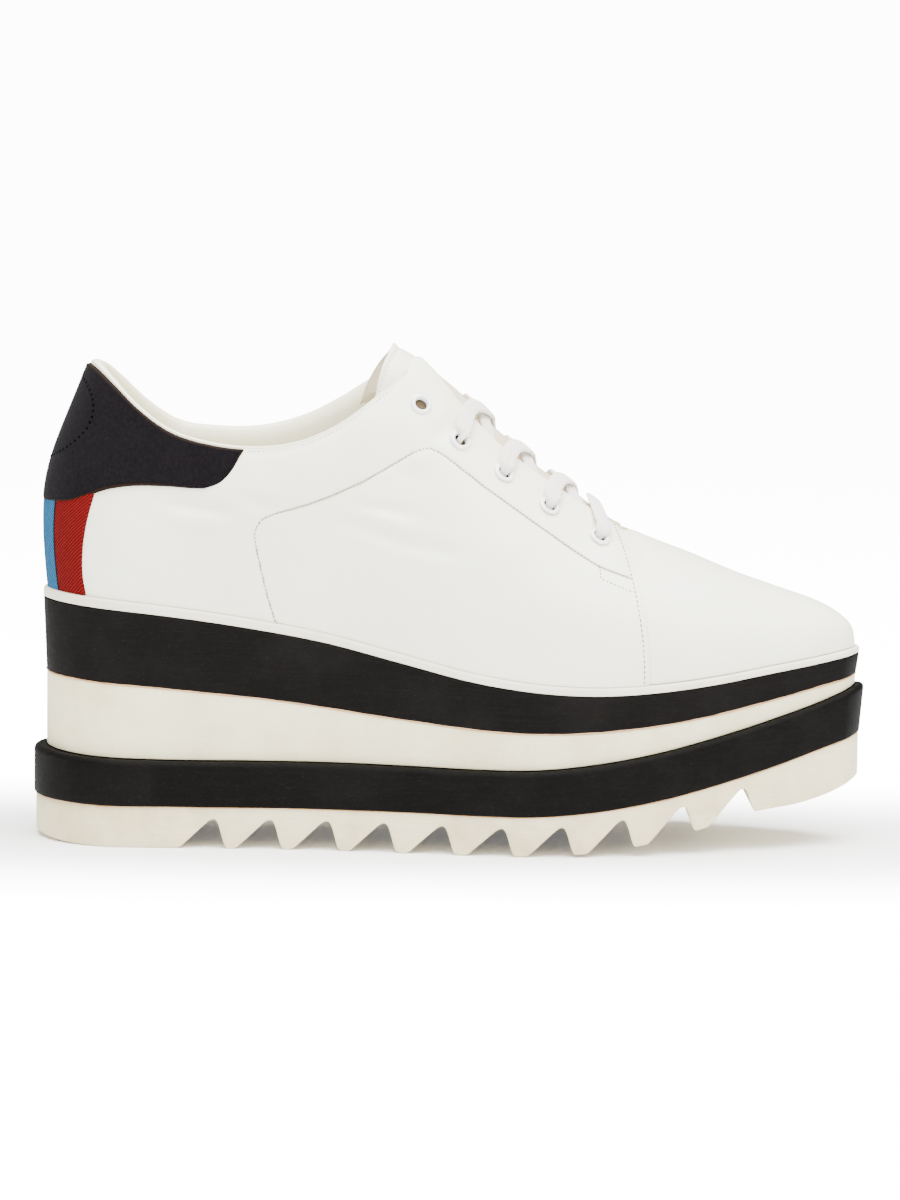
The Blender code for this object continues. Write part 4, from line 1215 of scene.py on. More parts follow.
BOTH = (Side.LATERAL, Side.MEDIAL)
FOLDS = table(Fold, (
    (((95, 112.4), (104.9, 109), (114.9, 107.3), (124.9, 103.6), (138.2, 100.9), (150, 100)),
     2.3, 0.85, 0.7),
    (((106, 116.8), (114.9, 115), (124.9, 113.4), (136, 112)), 1.7, 0.5, 0.35),
    (((112, 112.2), (120, 110), (131, 107.6)), 2, -0.45, 0.5),
    (((69, 117.6), (78.3, 115.2), (86.5, 113.9)), 2, 0.95, 0.65),
    (((38, 116.8), (46, 115.6), (55.1, 114.2), (63.4, 113.1), (73, 111.4)), 2.2, 1, 0.6),
    (((44, 110.6), (56, 109), (68, 108.6)), 3.4, -0.6, 0.5),
    (((120, 126.4), (127, 125.6), (140, 123.6)), 3.2, 0.4, 0.5),
    (((133, 136), (138.5, 139.6), (145.6, 143.6)), 3, 0.6, 0.55, BOTH),
    (((140, 92), (156, 89.5), (170, 90.5)), 6, 0.3, 0.5),
    (((170, 74), (182, 80), (196, 86)), 8, -0.55, 0.5),
    (((98, 96), (112, 93), (128, 91)), 7, -0.35, 0.5),
    (((204, 98.6), (209, 97), (216, 96)), 2.2, 0.22, 0.4, BOTH),
    (((206, 92.4), (213, 91.4), (222, 91.6)), 2.6, 0.2, 0.4, BOTH),
    (((92, 110), (106, 106), (124, 101), (142, 98)), 2.8, 0.75, 0.6, (Side.MEDIAL,)),
    (((104, 117), (118, 113), (134, 109.5)), 2.2, 0.5, 0.4, (Side.MEDIAL,)),
    (((44, 115), (58, 112.8), (74, 111)), 2.2, 0.5, 0.6, (Side.MEDIAL,)),
    (((150, 88), (166, 84), (184, 82)), 7, -0.45, 0.5, (Side.MEDIAL,))))


@dataclass
class Upper:
    """Quarters, with collar, facings and heel in one, lapped over the vamp."""

    puff: float = 1.25
    puff_from: float = 46.0
    puff_to: float = 112.0
    puff_fade: float = 26.0
    groove: float = 0.34
    groove_width: float = 0.95
    ripple: float = 0.11
    foot_fade: float = 10.0
    rim_fade: float = 0.06
    rim_round: float = 0.55
    crowding: float = 1.12
    hole_radius: float = 2.6
    hole_depth: float = 9.0
    hole_dip: float = 0.32
    hole_spread: float = 5.6
    rows: int = 104
    vamp_rows: int = 72
    column_steps: dict[Side, float] = field(default_factory=lambda: {Side.LATERAL: 0.95,
                                                                     Side.MEDIAL: 1.5})

    def seam_distance(self, points: Array) -> Array:
        """Distance from the nearest sewn line."""
        lines = (COLLAR_SEAM, STAY_SEAM, BACK_SEAM)
        return np.minimum.reduce([to_line(points[..., (0, 2)], line)[0] for line in lines])

    def puffed(self, points: Array) -> Array:
        """Padding of the collar between its seam and the rim."""
        station = points[..., 0]
        seam = np.interp(station, *np.transpose(((0.0, 100.0), (60.0, 104.0)) + COLLAR_SEAM[1:]))
        top = points[:, -1:, 2]
        share = np.clip((points[..., 2] - seam) / np.maximum(top - seam, 1.0), 0.0, 1.0)
        window = ease((station - self.puff_from) / self.puff_fade)
        window = window * (1 - ease((station - self.puff_to) / self.puff_fade))
        return self.puff * np.sin(pi * share) ** 0.8 * window

    def relief(self, side: Side, points: Array, v: Array) -> Array:
        """Outward offset from folds, padding, seams and eyelets.

        Args:
            side: side of the shoe.
            points: bare surface, columns by rows.
            v: shares up the ribs, as broadcast with the points.

        Returns:
            The offsets in millimetres.
        """
        flat = points[..., (0, 2)]
        out = self.puffed(points)
        for fold in FOLDS:
            if side in fold.sides:
                out += fold.offset(flat)
        out -= self.groove * gauss(self.seam_distance(points), self.groove_width)
        for eyelet in EYELETS:
            out -= self.hole_dip * gauss(np.linalg.norm(flat - eyelet, axis=-1), self.hole_spread)
        x, z = flat[..., 0], flat[..., 1]
        broad = np.sin(x / 9.1 + z / 13.0 + side.value) * np.sin(z / 8.3 - x / 21.0)
        small = np.sin(x / 4.7 - z / 6.1 + 2.0 * side.value) * np.sin(z / 5.2 + x / 11.0)
        foot = ease((z - welt_top(x)) / self.foot_fade)
        rim = ease((1.0 - v) / self.rim_fade)
        return (out + self.ripple * (broad + 0.6 * small)) * foot * (0.25 + 0.75 * rim)

    def sheet(self, side: Side, low: float, high: float, rows: int,
              lift: float) -> tuple[Array, Array]:
        """Outer face of one side between two places.

        Args:
            side: side of the shoe.
            low: first place along the ribs.
            high: last place.
            rows: points up each rib, closer near the rim.
            lift: height over the bare surface.

        Returns:
            Points, columns by rows, and their distance from the nearest seam.
        """
        last = LASTS[side]
        places = np.linspace(low, high, int((high - low) / self.column_steps[side]) + 2)[:, None]
        v = 1 - (1 - np.linspace(0.0, 1.0, rows)[None, :]) ** self.crowding
        bare = last.skin(places, v)
        relief = self.relief(side, bare, v)
        return last.point(places, v, lift + relief), self.seam_distance(bare)

    def wall(self, name: str, points: Array, faces: Array, seam: Array) -> Object:
        """Turn the outer face into a wall with rounded edges and a lining side."""
        # The seam distances make LEATHER_WHITE darken each seam line, as painted shade of its
        # groove.
        item = make_mesh(name, points, faces, [LEATHER_WHITE, LEATHER_LINING, LEATHER_EDGE],
                         seam=seam)
        with editing(item.data) as build:
            middle = sum(v.co.y for v in build.verts) / len(build.verts)
            inward = sum(f.normal.y * (f.calc_center_median().y - middle) < 0 for f in build.faces)
            if inward > len(build.faces) / 2:
                bmesh.ops.reverse_faces(build, faces=build.faces)
        modifier(item, "SOLIDIFY", thickness=WALL * MM, offset=-1.0, material_offset=1,
                 material_offset_rim=2)
        modifier(item, "BEVEL", width=self.rim_round * MM, segments=3, limit_method="ANGLE",
                 angle_limit=radians(60))
        return applied(item)

    def quarters(self) -> Object:
        """Both quarters in one sheet round the heel."""
        (lateral, seam_l), (medial, seam_m) = (
            self.sheet(side, 0.0, QUARTER_END, self.rows, QUARTER_STEP) for side in Side)
        points = np.concatenate([lateral[::-1], medial[1:]])
        seam = np.concatenate([seam_l[::-1], seam_m[1:]])
        item = self.wall("upper_quarters", points.reshape(-1, 3),
                         grid_faces(len(points), self.rows), seam.ravel())
        self.punch(item)
        return item

    def vamp(self) -> Object:
        """Vamp from under the quarters' front edge to the toe."""
        parts, faces, start = [], [], 0
        for side in Side:
            points = self.sheet(side, QUARTER_END + 0.02, LASTS[side].end, self.vamp_rows, 0.0)[0]
            parts.append(points.reshape(-1, 3))
            faces.append(grid_faces(len(points), self.vamp_rows, start=start))
            start += len(parts[-1])
        return self.wall("upper_vamp", np.concatenate(parts), np.concatenate(faces),
                         np.full(start, NO_SEAM))

    def punch(self, item: Object) -> None:
        """Round eyelet holes through both facings."""
        mesh = bpy.data.meshes.new("eyelet_punches")
        radius = self.hole_radius * MM
        with editing(mesh) as build:
            for side, row in product(Side, EYELETS):
                centre, out, along, across = eyelet_axes(side, row)
                matrix = Matrix(np.column_stack([along, across, out]).tolist()).to_4x4()
                matrix.translation = world(centre).tolist()
                bmesh.ops.create_cone(build, cap_ends=True, segments=24, radius1=radius,
                                      radius2=radius, depth=self.hole_depth * MM, matrix=matrix)
            bmesh.ops.recalc_face_normals(build, faces=build.faces)
        cutter = link("eyelet_punches", mesh)
        modifier(item, "BOOLEAN", operation="DIFFERENCE", solver="MANIFOLD", object=cutter)
        before = len(item.data.polygons)
        applied(item)
        LOG.info("eyelet holes: %d faces became %d", before, len(item.data.polygons))
        bpy.data.objects.remove(cutter, do_unlink=True)

    def build(self) -> None:
        """Build the walls."""
        for item in (self.quarters(), self.vamp()):
            item.data.set_sharp_from_angle(angle=radians(38))
            fit(item, "upper_leather", "upper")


@cache
def eyelet_axes(side: Side, row: Pair) -> tuple[Array, ...]:
    """Centre of an eyelet on the leather, outward normal and two directions along the leather."""
    last = LASTS[side]
    place, v = last.find(*row)
    centre, out = last.point(place, v, QUARTER_STEP), last.normal(place, v)
    along = unit(np.cross((0.0, 1.0, 0.0), out))
    return centre, out, along, np.cross(out, along)


# ---------- collar lining, tongue, sock
class RimPoint(NamedTuple):
    """A point of the collar roll, from the rim: outward and up the leather."""

    out: float
    up: float


class PadPoint(NamedTuple):
    """A point of the collar's padding: distance down from the rim and in from the skin."""

    down: float
    depth: float


ROLL = table(RimPoint, (
    (0.34, -0.4), (0.46, 0.1), (0.2, 0.52), (-0.4, 0.8), (-1.3, 0.88), (-2.3, 0.65), (-3.15, 0.05),
    (-3.75, -0.9)))
PADDING = table(PadPoint, (
    (2.6, 4.1), (5, 4.5), (8, 4.75), (11.5, 4.7), (15.5, 4.3), (20, 3.6), (25, 2.9), (30, 2.45),
    (34, 2.2), (36, 1.95), (36.4, 1.6)))
LINING_BACK = table(PadPoint, ((34, 1.3), (26, 1.3), (16, 1.3), (8, 1.3), (2.5, 1.3)))


@dataclass
class CollarLining:
    """Padded lining rolled over the collar's rim, from facing to facing round the heel."""

    column_step: float = 1.3
    front: float = 126.0
    ease_in: float = 22.0
    thin: float = 1.3
    padded: float = 1.5
    slim: float = 0.45
    lowest: float = 0.12

    def column(self, last: Last, place: float, end: float) -> Array:
        """One closed cross-section of the lining, slimmer towards its end."""
        rim, out = last.skin(place, 1.0), last.normal(place, 0.995)
        up = unit(rim - last.skin(place, 0.99))
        if place <= 0.0:
            out[1] = up[1] = 0.0
        length = lengths(last.skin(place, np.linspace(0, 1, 30)))[-1]
        full = self.slim + (1 - self.slim) * float(ease((end - place) / self.ease_in))
        wave = 1 + 0.05 * sin(place * 0.9) + 0.035 * sin(place * 2.3 + 1.0)
        points = [rim + out * (QUARTER_STEP - 0.3 + p.out) + up * p.up for p in ROLL]
        down, depth = np.array(PADDING + LINING_BACK).T
        v = np.maximum(1.0 - down / length, self.lowest)
        soft = (depth - self.thin) * wave * full * (depth > self.padded)
        depth = np.maximum(depth, self.thin + soft)
        depth = np.where(depth > self.padded, self.padded + (depth - self.padded) * full, depth)
        inside = last.skin(place, v) - last.normal(place, np.minimum(v, 0.995)) * depth[:, None]
        return np.concatenate([points, inside])

    def half(self, side: Side) -> tuple[Array]:
        """Columns of one side, from the heel's middle to the lining's end under the facing."""
        last = LASTS[side]
        places = np.linspace(0.0, QUARTER_END, 400)
        end = float(np.interp(self.front, last.skin(places, 1.0)[:, 0], places))
        places = np.arange(0.0, end, self.column_step)
        columns = np.array([self.column(last, place, end) for place in places])
        columns[0, :, 1] = 0.0
        return (columns,)

    def build(self) -> Object:
        """Sweep the lining round the collar."""
        columns, = both_sides(self.half)
        item = closed_tube("collar_lining", columns, LEATHER_LINING, sharp=70.0)
        modifier(item, "SUBSURF", levels=1, render_levels=1)
        applied(item)
        fit(item, "lining_leather")
        return item


@dataclass
class Tongue:
    """Padded tongue: a crowned flap, sewn flat along its edge."""

    rows: int = 90
    columns: int = 44
    thickness: float = 2.6
    edge_thickness: float = 1.0
    crown: float = 1.15
    hem: float = 2.4
    hem_length: float = 62.0
    hem_depth: float = 0.30
    hem_width: float = 0.8
    edge_round: float = 0.9
    edge_drop: float = 0.2
    pad_width: float = 5.0
    ripple: float = 0.16
    bend_end: float = 1.30
    wing_add: float = 0.75
    sag: tuple = ((-1.0, 11.0), (-0.77, 8.2), (-0.6, 4.6), (-0.47, 2.5), (-0.3, 1.0), (-0.12, 0.1),
                  (0.0, 0.0), (0.12, 0.1), (0.3, 0.8), (0.47, 1.0), (0.7, 2.6), (1.0, 7.0))
    # Seam marks along the tongue from vamp to free end: low values turn the outer face tan as
    # painted shade under the laces and facings.
    painted_shade: tuple = ((0.0, 0.20), (0.66, 0.20), (0.80, 0.5), (0.81, 99.0), (1.0, 99.0))

    def frame(self, t: Array) -> tuple[Array, ...]:
        """Crest points, outward rays, radii and half angles along the tongue."""
        keys = np.arange(len(TONGUE), dtype=float)
        at = t * (len(TONGUE) - 1)
        read = {name: smooth(keys, [getattr(row, name) for row in TONGUE], at)
                for name in ("crest_s", "crest_z", "radius", "half_angle")}
        crest = np.stack([read["crest_s"], np.zeros_like(t), read["crest_z"]], -1)
        along = -np.gradient(crest, axis=0)
        along /= np.linalg.norm(along, axis=1, keepdims=True)
        out = np.stack([-along[:, 2], np.zeros_like(t), along[:, 0]], -1)
        return crest, out, read["radius"], np.radians(read["half_angle"]) + self.wing_add * t ** 6

    def surface(self, share: Array, t: Array, depth: Array) -> Array:
        """Points of the tongue.

        Args:
            share: across from -1 to 1.
            t: along from the vamp (0) to the free end (1), a list in order.
            depth: depth under the outer face, along by across.

        Returns:
            Points, along by across.
        """
        crest, out, radius, half = self.frame(t)
        angle = half[:, None] * share[None, :]
        bent = np.clip(angle, -self.bend_end, self.bend_end)
        ray = out[:, None, :] * np.cos(bent)[..., None]
        ray[..., 1] += np.sin(bent)
        down = -out[:, None, :] * np.abs(np.sin(bent))[..., None]
        down[..., 1] += np.cos(bent) * np.sign(angle)
        centre = crest - out * radius[:, None]
        drop = (np.abs(angle - bent) * radius[:, None])[..., None]
        slide = pairs(self.sag, share)[None, :] * t[:, None] ** 7
        back = -np.cross(out, (0.0, 1.0, 0.0))[:, None, :] * slide[..., None]
        return centre[:, None, :] + ray * (radius[:, None] - depth)[..., None] + down * drop + back

    def build(self) -> Object:
        """Build the flap between its two faces, with a thin sewn hem and a soft crown."""
        t = 1 - (1 - np.linspace(0.0, 1.0, self.rows)) ** 1.15
        share = np.sin(np.linspace(-pi / 2, pi / 2, self.columns))
        share = 0.5 * share + 0.5 * np.linspace(-1, 1, self.columns)
        crest, _, radius, half = self.frame(t)
        run = lengths(crest)
        to_side = (1 - np.abs(share))[None, :] * (half * radius)[:, None]
        edge = np.minimum(to_side, (run[-1] - run)[:, None])
        thin = 1 - rounding(edge / self.edge_round)
        seam = self.hem_depth * gauss(edge - self.hem, self.hem_width)
        pad = ease((edge - self.hem * 0.6) / self.pad_width)
        ripple = np.sin(run / 3.9 + 0.6)[:, None] * np.sin(share * 5.0 + 1.0)[None, :]
        thick = self.edge_thickness + (self.thickness - self.edge_thickness) * ease((edge - 1) / 6)
        flat = self.edge_drop * (1 - pad)
        outer = (thick * 0.5 * thin - self.crown * 0.35 * pad + seam + flat
                 - self.ripple * ripple * pad)
        inner = thick - thick * 0.5 * thin + self.crown * 0.7 * pad
        inner = np.maximum(inner - flat, outer + 0.02 + 0.7 * (1 - thin))
        rings = [self.surface(share, t, outer), self.surface(share, t, inner)[:, ::-1]]
        # Outer face: painted shade in tan, fading out towards the free end; inner face marked 0:
        # the lining's tan with painted shade.
        painted_shade = np.interp(t, *zip(*self.painted_shade))[:, None] * np.ones((1, self.columns))
        item = closed_tube("tongue_pad", np.concatenate(rings, axis=1), LEATHER_TONGUE, sharp=65.0,
                           seam=np.concatenate([painted_shade, np.zeros_like(painted_shade)], axis=1).ravel())
        with editing(item.data) as build:
            ends = [face for face in build.faces if len(face.verts) > 8]
            bmesh.ops.triangulate(build, faces=ends)
        fit(item, "tongue_leather", "tongue")
        self.hem_stitches(t)
        return item

    def hem_stitches(self, t: Array) -> None:
        """Row of stitches round the free end, a hem's width in from the edge."""
        crest, _, radius, half = self.frame(t)
        run = lengths(crest)
        reach = np.linspace(run[-1] - self.hem_length, run[-1] - self.hem, 70)
        t_at = np.interp(reach, run, t)
        inner = 1 - self.hem / np.interp(reach, run, half * radius)
        corner = np.linspace(inner[-1], -inner[-1], 30)[1:-1]
        path = [*zip(t_at, inner), *((t_at[-1], s) for s in corner),
                *zip(t_at[::-1], -inner[::-1])]
        keys = np.unique(t_at)
        points, outs = [], []
        for a, b in path:
            row = np.searchsorted(keys, a)
            low, high = (self.surface(np.array((b,)), keys, np.full((len(keys), 1), depth))[row, 0]
                         for depth in (0.42, -0.58))
            points.append(low)
            outs.append(high - low)
        stitch_row("tongue_stitches", np.array(points), np.array(outs), THREAD_WHITE,
                   "tongue_leather", pitch=1.9, length=1.25, width=0.42)


@dataclass
class SockLining:
    """Cushioned sock on the welt, dished a little under the foot."""

    clear: float = 3.2
    profile: Path = (
        (0.6, GAP), (0.0, 0.9), (0.0, 2.0), (0.3, 2.7), (1.0, 3.0), (3.5, 2.95), (7.0, 2.6))

    def build(self) -> Object:
        """Loft the sock through its (inset, height) profile."""
        stations = even_stations(160)
        inset = (UPPER_INSET[0] + self.clear, UPPER_INSET[1] + self.clear)
        rings = [sole_ring(stations, inset, more, lambda s, rise=rise: welt_top(s) + rise)
                 for more, rise in self.profile]
        item = closed_loft("sock_lining", rings, LEATHER_LINING, sharp=50.0)
        return fit(item, "lining_leather", "insole")


# ---------- stitches by geometry nodes
@cache
def stitch_tree() -> NodeTree:
    """Geometry nodes that lay short stitches along a line, each lying on the leather."""
    tree = Tree(bpy.data.node_groups.new("stitch_line", "GeometryNodeTree"))
    tree.socket("Geometry", "Geometry")
    for name in ("Pitch", "Length", "Width", "Height", "Slant"):
        tree.socket(name, "Float")
    tree.socket("Seed", "Int")
    tree.socket("Material", "Material")
    tree.socket("Geometry", "Geometry", "OUTPUT")
    given = tree.add("NodeGroupInput").outputs
    curve = tree.get("GeometryNodeMeshToCurve", {"Mesh": given["Geometry"]})
    spaced = tree.get("GeometryNodeResampleCurve", {"Curve": curve, "Length": given["Pitch"]},
                      mode="LENGTH")
    out = tree.get("GeometryNodeInputNamedAttribute", {"Name": "out"}, data_type="FLOAT_VECTOR")
    along = tree.get("FunctionNodeAlignRotationToVector",
                     {"Vector": tree.get("GeometryNodeInputTangent")}, axis="X")
    turned = tree.get("FunctionNodeAlignRotationToVector", {"Rotation": along, "Vector": out},
                      axis="Z", pivot_axis="X")
    lean = tree.get("FunctionNodeEulerToRotation",
                    {0: tree.get("ShaderNodeCombineXYZ", {"Z": given["Slant"]})})
    facing = tree.get("FunctionNodeRotateRotation", {0: turned, 1: lean}, rotation_space="LOCAL")
    wander = tree.add("FunctionNodeRandomValue", {"Min": 0.86, "Max": 1.1, "Seed": given["Seed"]},
                      data_type="FLOAT").outputs[1]
    ball = tree.get("GeometryNodeMeshUVSphere", {"Segments": 8, "Rings": 5, "Radius": 0.5})
    size = tree.get("ShaderNodeCombineXYZ", {0: given["Length"], 1: given["Width"],
                                             2: given["Height"]})
    bead = tree.get("GeometryNodeTransform", {"Geometry": ball, "Scale": size})
    laid = tree.get("GeometryNodeInstanceOnPoints", {"Points": spaced, "Instance": bead,
                                                     "Rotation": facing, "Scale": wander})
    real = tree.get("GeometryNodeRealizeInstances", {0: laid})
    even = tree.get("GeometryNodeSetShadeSmooth", {0: real})
    dressed = tree.get("GeometryNodeSetMaterial", {"Geometry": even,
                                                   "Material": given["Material"]})
    tree.add("NodeGroupOutput", {0: dressed})
    return tree.tree


def stitch_row(name: str, points: Array, outs: Array, finish: Finish, slot: str, *,
               pitch: float, length: float, width: float, height: float = 0.34,
               slant: float = 0.10, seed: int = 7) -> Object:
    """Stitches along a line on the leather.

    Args:
        name: name of the piece.
        points: the line, in shoe millimetres.
        outs: outward direction at each of its points.
        finish: the thread.
        slot: the record's slot; not used.
        pitch: from one stitch to the next.
        length: length of a stitch.
        width: width of the thread.
        height: height of the thread.
        slant: turn of each stitch from the line, in radians.
        seed: seed of the small differences between stitches.

    Returns:
        The piece.
    """
    mesh = bpy.data.meshes.new(name)
    mesh.from_pydata(world(points).tolist(), [(k, k + 1) for k in range(len(points) - 1)], [])
    mark(mesh, "out", outs)
    item = link(name, mesh)
    lay = modifier(item, "NODES", node_group=stitch_tree())
    values = {"Pitch": pitch * MM, "Length": length * MM, "Width": width * MM,
              "Height": height * MM, "Slant": slant, "Seed": seed, "Material": finish.material()}
    for socket in lay.node_group.interface.items_tree:
        if socket.name in values:
            lay[socket.identifier] = values[socket.name]
    applied(item)
    return fit(item, slot)


def skin_line(side: Side, path: Path, lift: float, step: float = 0.8) -> tuple[Array, Array]:
    """A line of (station, height) laid on the leather.

    Args:
        side: side of the shoe.
        path: corners of the line.
        lift: height over the bare surface.
        step: spacing of its points.

    Returns:
        Points and outward directions.
    """
    last = LASTS[side]
    place, v = last.find(*resample(np.asarray(path, float), step).T)
    relief = UPPER.relief(side, last.skin(place, v)[:, None, :], v[:, None])[:, 0]
    return last.lay(place, v, lift + relief)


def rounded(path: Path, turns: int = 3) -> Array:
    """Corner-cut version of a polyline."""
    path = np.asarray(path, float)
    for _ in range(turns):
        low, high = path[:-1], path[1:]
        cut = np.stack([low * 0.75 + high * 0.25, low * 0.25 + high * 0.75], 1).reshape(-1, 2)
        path = np.concatenate([path[:1], cut, path[-1:]])
    return path


UPPER = Upper()


class Stitching:
    """Rows of stitches on the quarters."""

    seams = (("back", rounded(BACK_SEAM + COLLAR_SEAM[1:3]), 1.35, 0),
             ("collar", rounded(COLLAR_SEAM[2:] + STAY_SEAM[1:]), 1.3, 10),
             ("tab", TAB_SEAM, 1.3, 20))

    def row(self, name: str, side: Side, points: Array, outs: Array, seed: int,
            **sizes: float) -> None:
        """One row of thread on one side, its dark brown painted shade of the stitch holes."""
        stitch_row("stitches_%s_%s" % (name, side.name.lower()), points, outs, THREAD,
                   "upper_leather", seed=3 + side.value + seed, **sizes)

    def front(self, side: Side) -> None:
        """Row along the quarter's front edge."""
        line = LASTS[side].lay(QUARTER_END - FRONT_STITCH, np.linspace(0.02, 0.985, 70),
                               QUARTER_STEP + 0.10)
        self.row("front", side, *line, 30, pitch=1.75, length=1.05, width=0.42, height=0.30)

    def rim(self, side: Side) -> None:
        """Row just under the collar's rim, from the counter to the facing's corner."""
        last = LASTS[side]
        places = np.linspace(0.0, QUARTER_END, 400)
        ends = np.interp(RIM_STITCH, last.skin(places, 1.0)[:, 0], places)
        self.row("rim", side, *last.lay(np.linspace(*ends, 120), RIM_SHARE, QUARTER_STEP + 0.05),
                 40, pitch=1.5, length=0.95, width=0.34, height=0.24)

    def build(self) -> None:
        """Lay every row on both sides."""
        for side in Side:
            for name, path, pitch, seed in self.seams:
                self.row(name, side, *skin_line(side, path, QUARTER_STEP + 0.08), seed,
                         pitch=pitch, length=0.85, width=0.38, height=0.26)
            self.front(side)
            self.rim(side)


# ---------- heel trims, eyelets and lace
def both_sides(make: Callable[[Side], tuple[Array, ...]]) -> list[Array]:
    """Columns of both sides joined at the heel's middle, from the lateral end to the medial."""
    lateral, medial = (make(side) for side in Side)
    return [np.concatenate([one[:0:-1], other]) for one, other in zip(lateral, medial)]


def plate(name: str, outer: Array, inner: Array, finish: Finish, *,
          uv: Array | None = None, seam: Array | None = None) -> Object:
    """Closed plate between two sheets of points with the same columns and rows."""
    count, rows = outer.shape[:2]
    size = count * rows
    sheet = grid_faces(count, rows)
    rim = [c * rows for c in range(count)] + [(count - 1) * rows + r for r in range(1, rows)]
    rim += [c * rows + rows - 1 for c in range(count - 2, -1, -1)] + list(range(rows - 2, 0, -1))
    wall = [(a, b, b + size, a + size) for a, b in zip(rim, rim[1:] + rim[:1])]
    faces = sheet.tolist() + (sheet[:, ::-1] + size).tolist() + wall
    points = np.concatenate([outer.reshape(-1, 3), inner.reshape(-1, 3)])
    seam = None if seam is None else np.tile(seam.ravel(), 2)
    uv = None if uv is None else np.tile(uv.reshape(-1, 2), (2, 1))
    return make_mesh(name, points, faces, [finish], sharp=60.0, uv=uv, seam=seam)


class HeelSheet(NamedTuple):
    """Places and shares of a sheet round the heel, and each point's distance from its edges."""

    place: Array
    share: Array
    edge: Array
    around: Array

    def lay(self, last: Last, lift: Array, sunk: float = 0.4) -> tuple[Array, Array]:
        """Outer points lifted off the quarter, and inner points sunk into it."""
        return tuple(last.point(self.place, self.share, QUARTER_STEP + rise)
                     for rise in (lift, -sunk))


def heel_sheet(side: Side, columns: int, rows: int, front: Path, low: Curve,
               high: Curve) -> HeelSheet:
    """Sheet from the heel's middle to a front edge, between two height curves.

    Args:
        side: side of the shoe.
        columns: columns from the middle to the front edge.
        rows: points up a column.
        front: front edge, as (height, station).
        low: height of the lower edge by station.
        high: height of the upper edge by station.

    Returns:
        The sheet's places and shares.
    """
    last = LASTS[side]
    t = np.linspace(0.0, 1.0, columns)
    a = (0.7 * t + 0.3 * np.sin(t * pi / 2))[:, None]
    u = np.linspace(0.0, 1.0, rows)
    r = (0.6 * u + 0.4 * (1 - np.cos(pi * u)) / 2)[None, :]
    share = np.broadcast_to(0.5 + 0.4 * r, (columns, rows))
    for _ in range(7):
        place = a * last.front_edge(share, front)
        station = last.skin(place, share)[..., 0]
        bottom, top = (last.share_at(place, edge(station)) for edge in (low, high))
        share = bottom + (top - bottom) * r
    points = last.skin(place, share)
    around, up = (np.cumsum(np.linalg.norm(
        np.diff(points, axis=k, prepend=np.take(points, [0], k)), axis=-1), axis=k)
        for k in (0, 1))
    edge = np.minimum(np.minimum(up, up[:, -1:] - up), around[-1:] - around)
    return HeelSheet(place, share, edge, around)


@dataclass
class HeelCounter:
    """Suede counter over the heel, with a folded edge and an oval ring of pinholes, drawn as
    near-black marks of painted shade.
    """

    thickness: float = 1.25
    edge_round: float = 0.9
    fold: float = 0.42
    wave: float = 0.10
    columns: int = 84
    rows: int = 62
    oval_height: float = 142.3
    oval_half: float = 14.0
    oval_reach: float = 22.0

    def half(self, side: Side) -> tuple[Array, ...]:
        """Outer and inner points of one side, and their distance from the folded edge."""
        rim = LASTS[side].skin(np.linspace(0.0, 110.0, 300), 0.993)
        sheet = heel_sheet(side, self.columns, self.rows, COUNTER_FRONT,
                           lambda s: pairs(COUNTER_EDGE, s),
                           lambda s: np.interp(s, rim[:, 0], rim[:, 2]))
        near = np.clip(sheet.edge / self.edge_round, 0.0, 1.0)
        wave = self.wave * np.sin(sheet.place / 7.3) * np.sin(sheet.share * 21.0)
        lift = self.thickness * rounding(near) + wave * near
        return *sheet.lay(LASTS[side], lift), sheet.edge * self.fold

    def ring(self, side: Side) -> tuple[Array, ...]:
        """Points of one side's half of the pinholes' oval, and their outward directions."""
        last, turn = LASTS[side], np.linspace(-pi / 2, pi / 2, 32)
        width = last.find(self.oval_reach, self.oval_height)[0]
        place = np.maximum(width * np.cos(turn), 0.0)
        v = last.share_at(place, self.oval_height + self.oval_half * np.sin(turn))
        return last.lay(place, v, QUARTER_STEP + self.thickness + 0.10)

    def build(self) -> None:
        """Build the counter and its pinholes."""
        outer, inner, edges = both_sides(self.half)
        item = plate("heel_counter_suede", outer, inner, SUEDE, seam=edges)
        fit(item, "counter_suede", "heel_counter")
        rings = zip(self.ring(Side.LATERAL), self.ring(Side.MEDIAL))
        points, outs = (np.concatenate([one, other[-2::-1]]) for one, other in rings)
        # Near-black marks laid on the suede stand in for the pinholes: painted shade of holes.
        stitch_row("counter_pinholes", points, outs, PINHOLE, "counter_suede", pitch=2.05,
                   length=0.9, width=0.9, height=0.10, slant=0.0)


@dataclass
class HeelRibbon:
    """Striped ribbon down the back seam."""

    thickness: float = 0.95
    edge: float = 0.25
    selvedge: float = 0.8
    columns: int = 46
    rows: int = 60

    def half(self, side: Side) -> tuple[Array, ...]:
        """Outer and inner points of one side, and their UV in millimetres."""
        sheet = heel_sheet(side, self.columns, self.rows, RIBBON_EDGE,
                           lambda s: welt_top(s) + 0.8, lambda s: pairs(COUNTER_EDGE, s) + 0.6)
        near = (sheet.around[-1:] - sheet.around) / self.selvedge
        lift = self.edge + (self.thickness - self.edge) * rounding(near)
        height = LASTS[side].skin(sheet.place, sheet.share)[..., 2]
        return *sheet.lay(LASTS[side], lift), np.stack([sheet.around * side.value, height], -1)

    def build(self) -> Object:
        """Build the ribbon."""
        outer, inner, uv = both_sides(self.half)
        return fit(plate("heel_ribbon_twill", outer, inner, TWILL, uv=uv),
                   "ribbon_twill", "heel_ribbon")


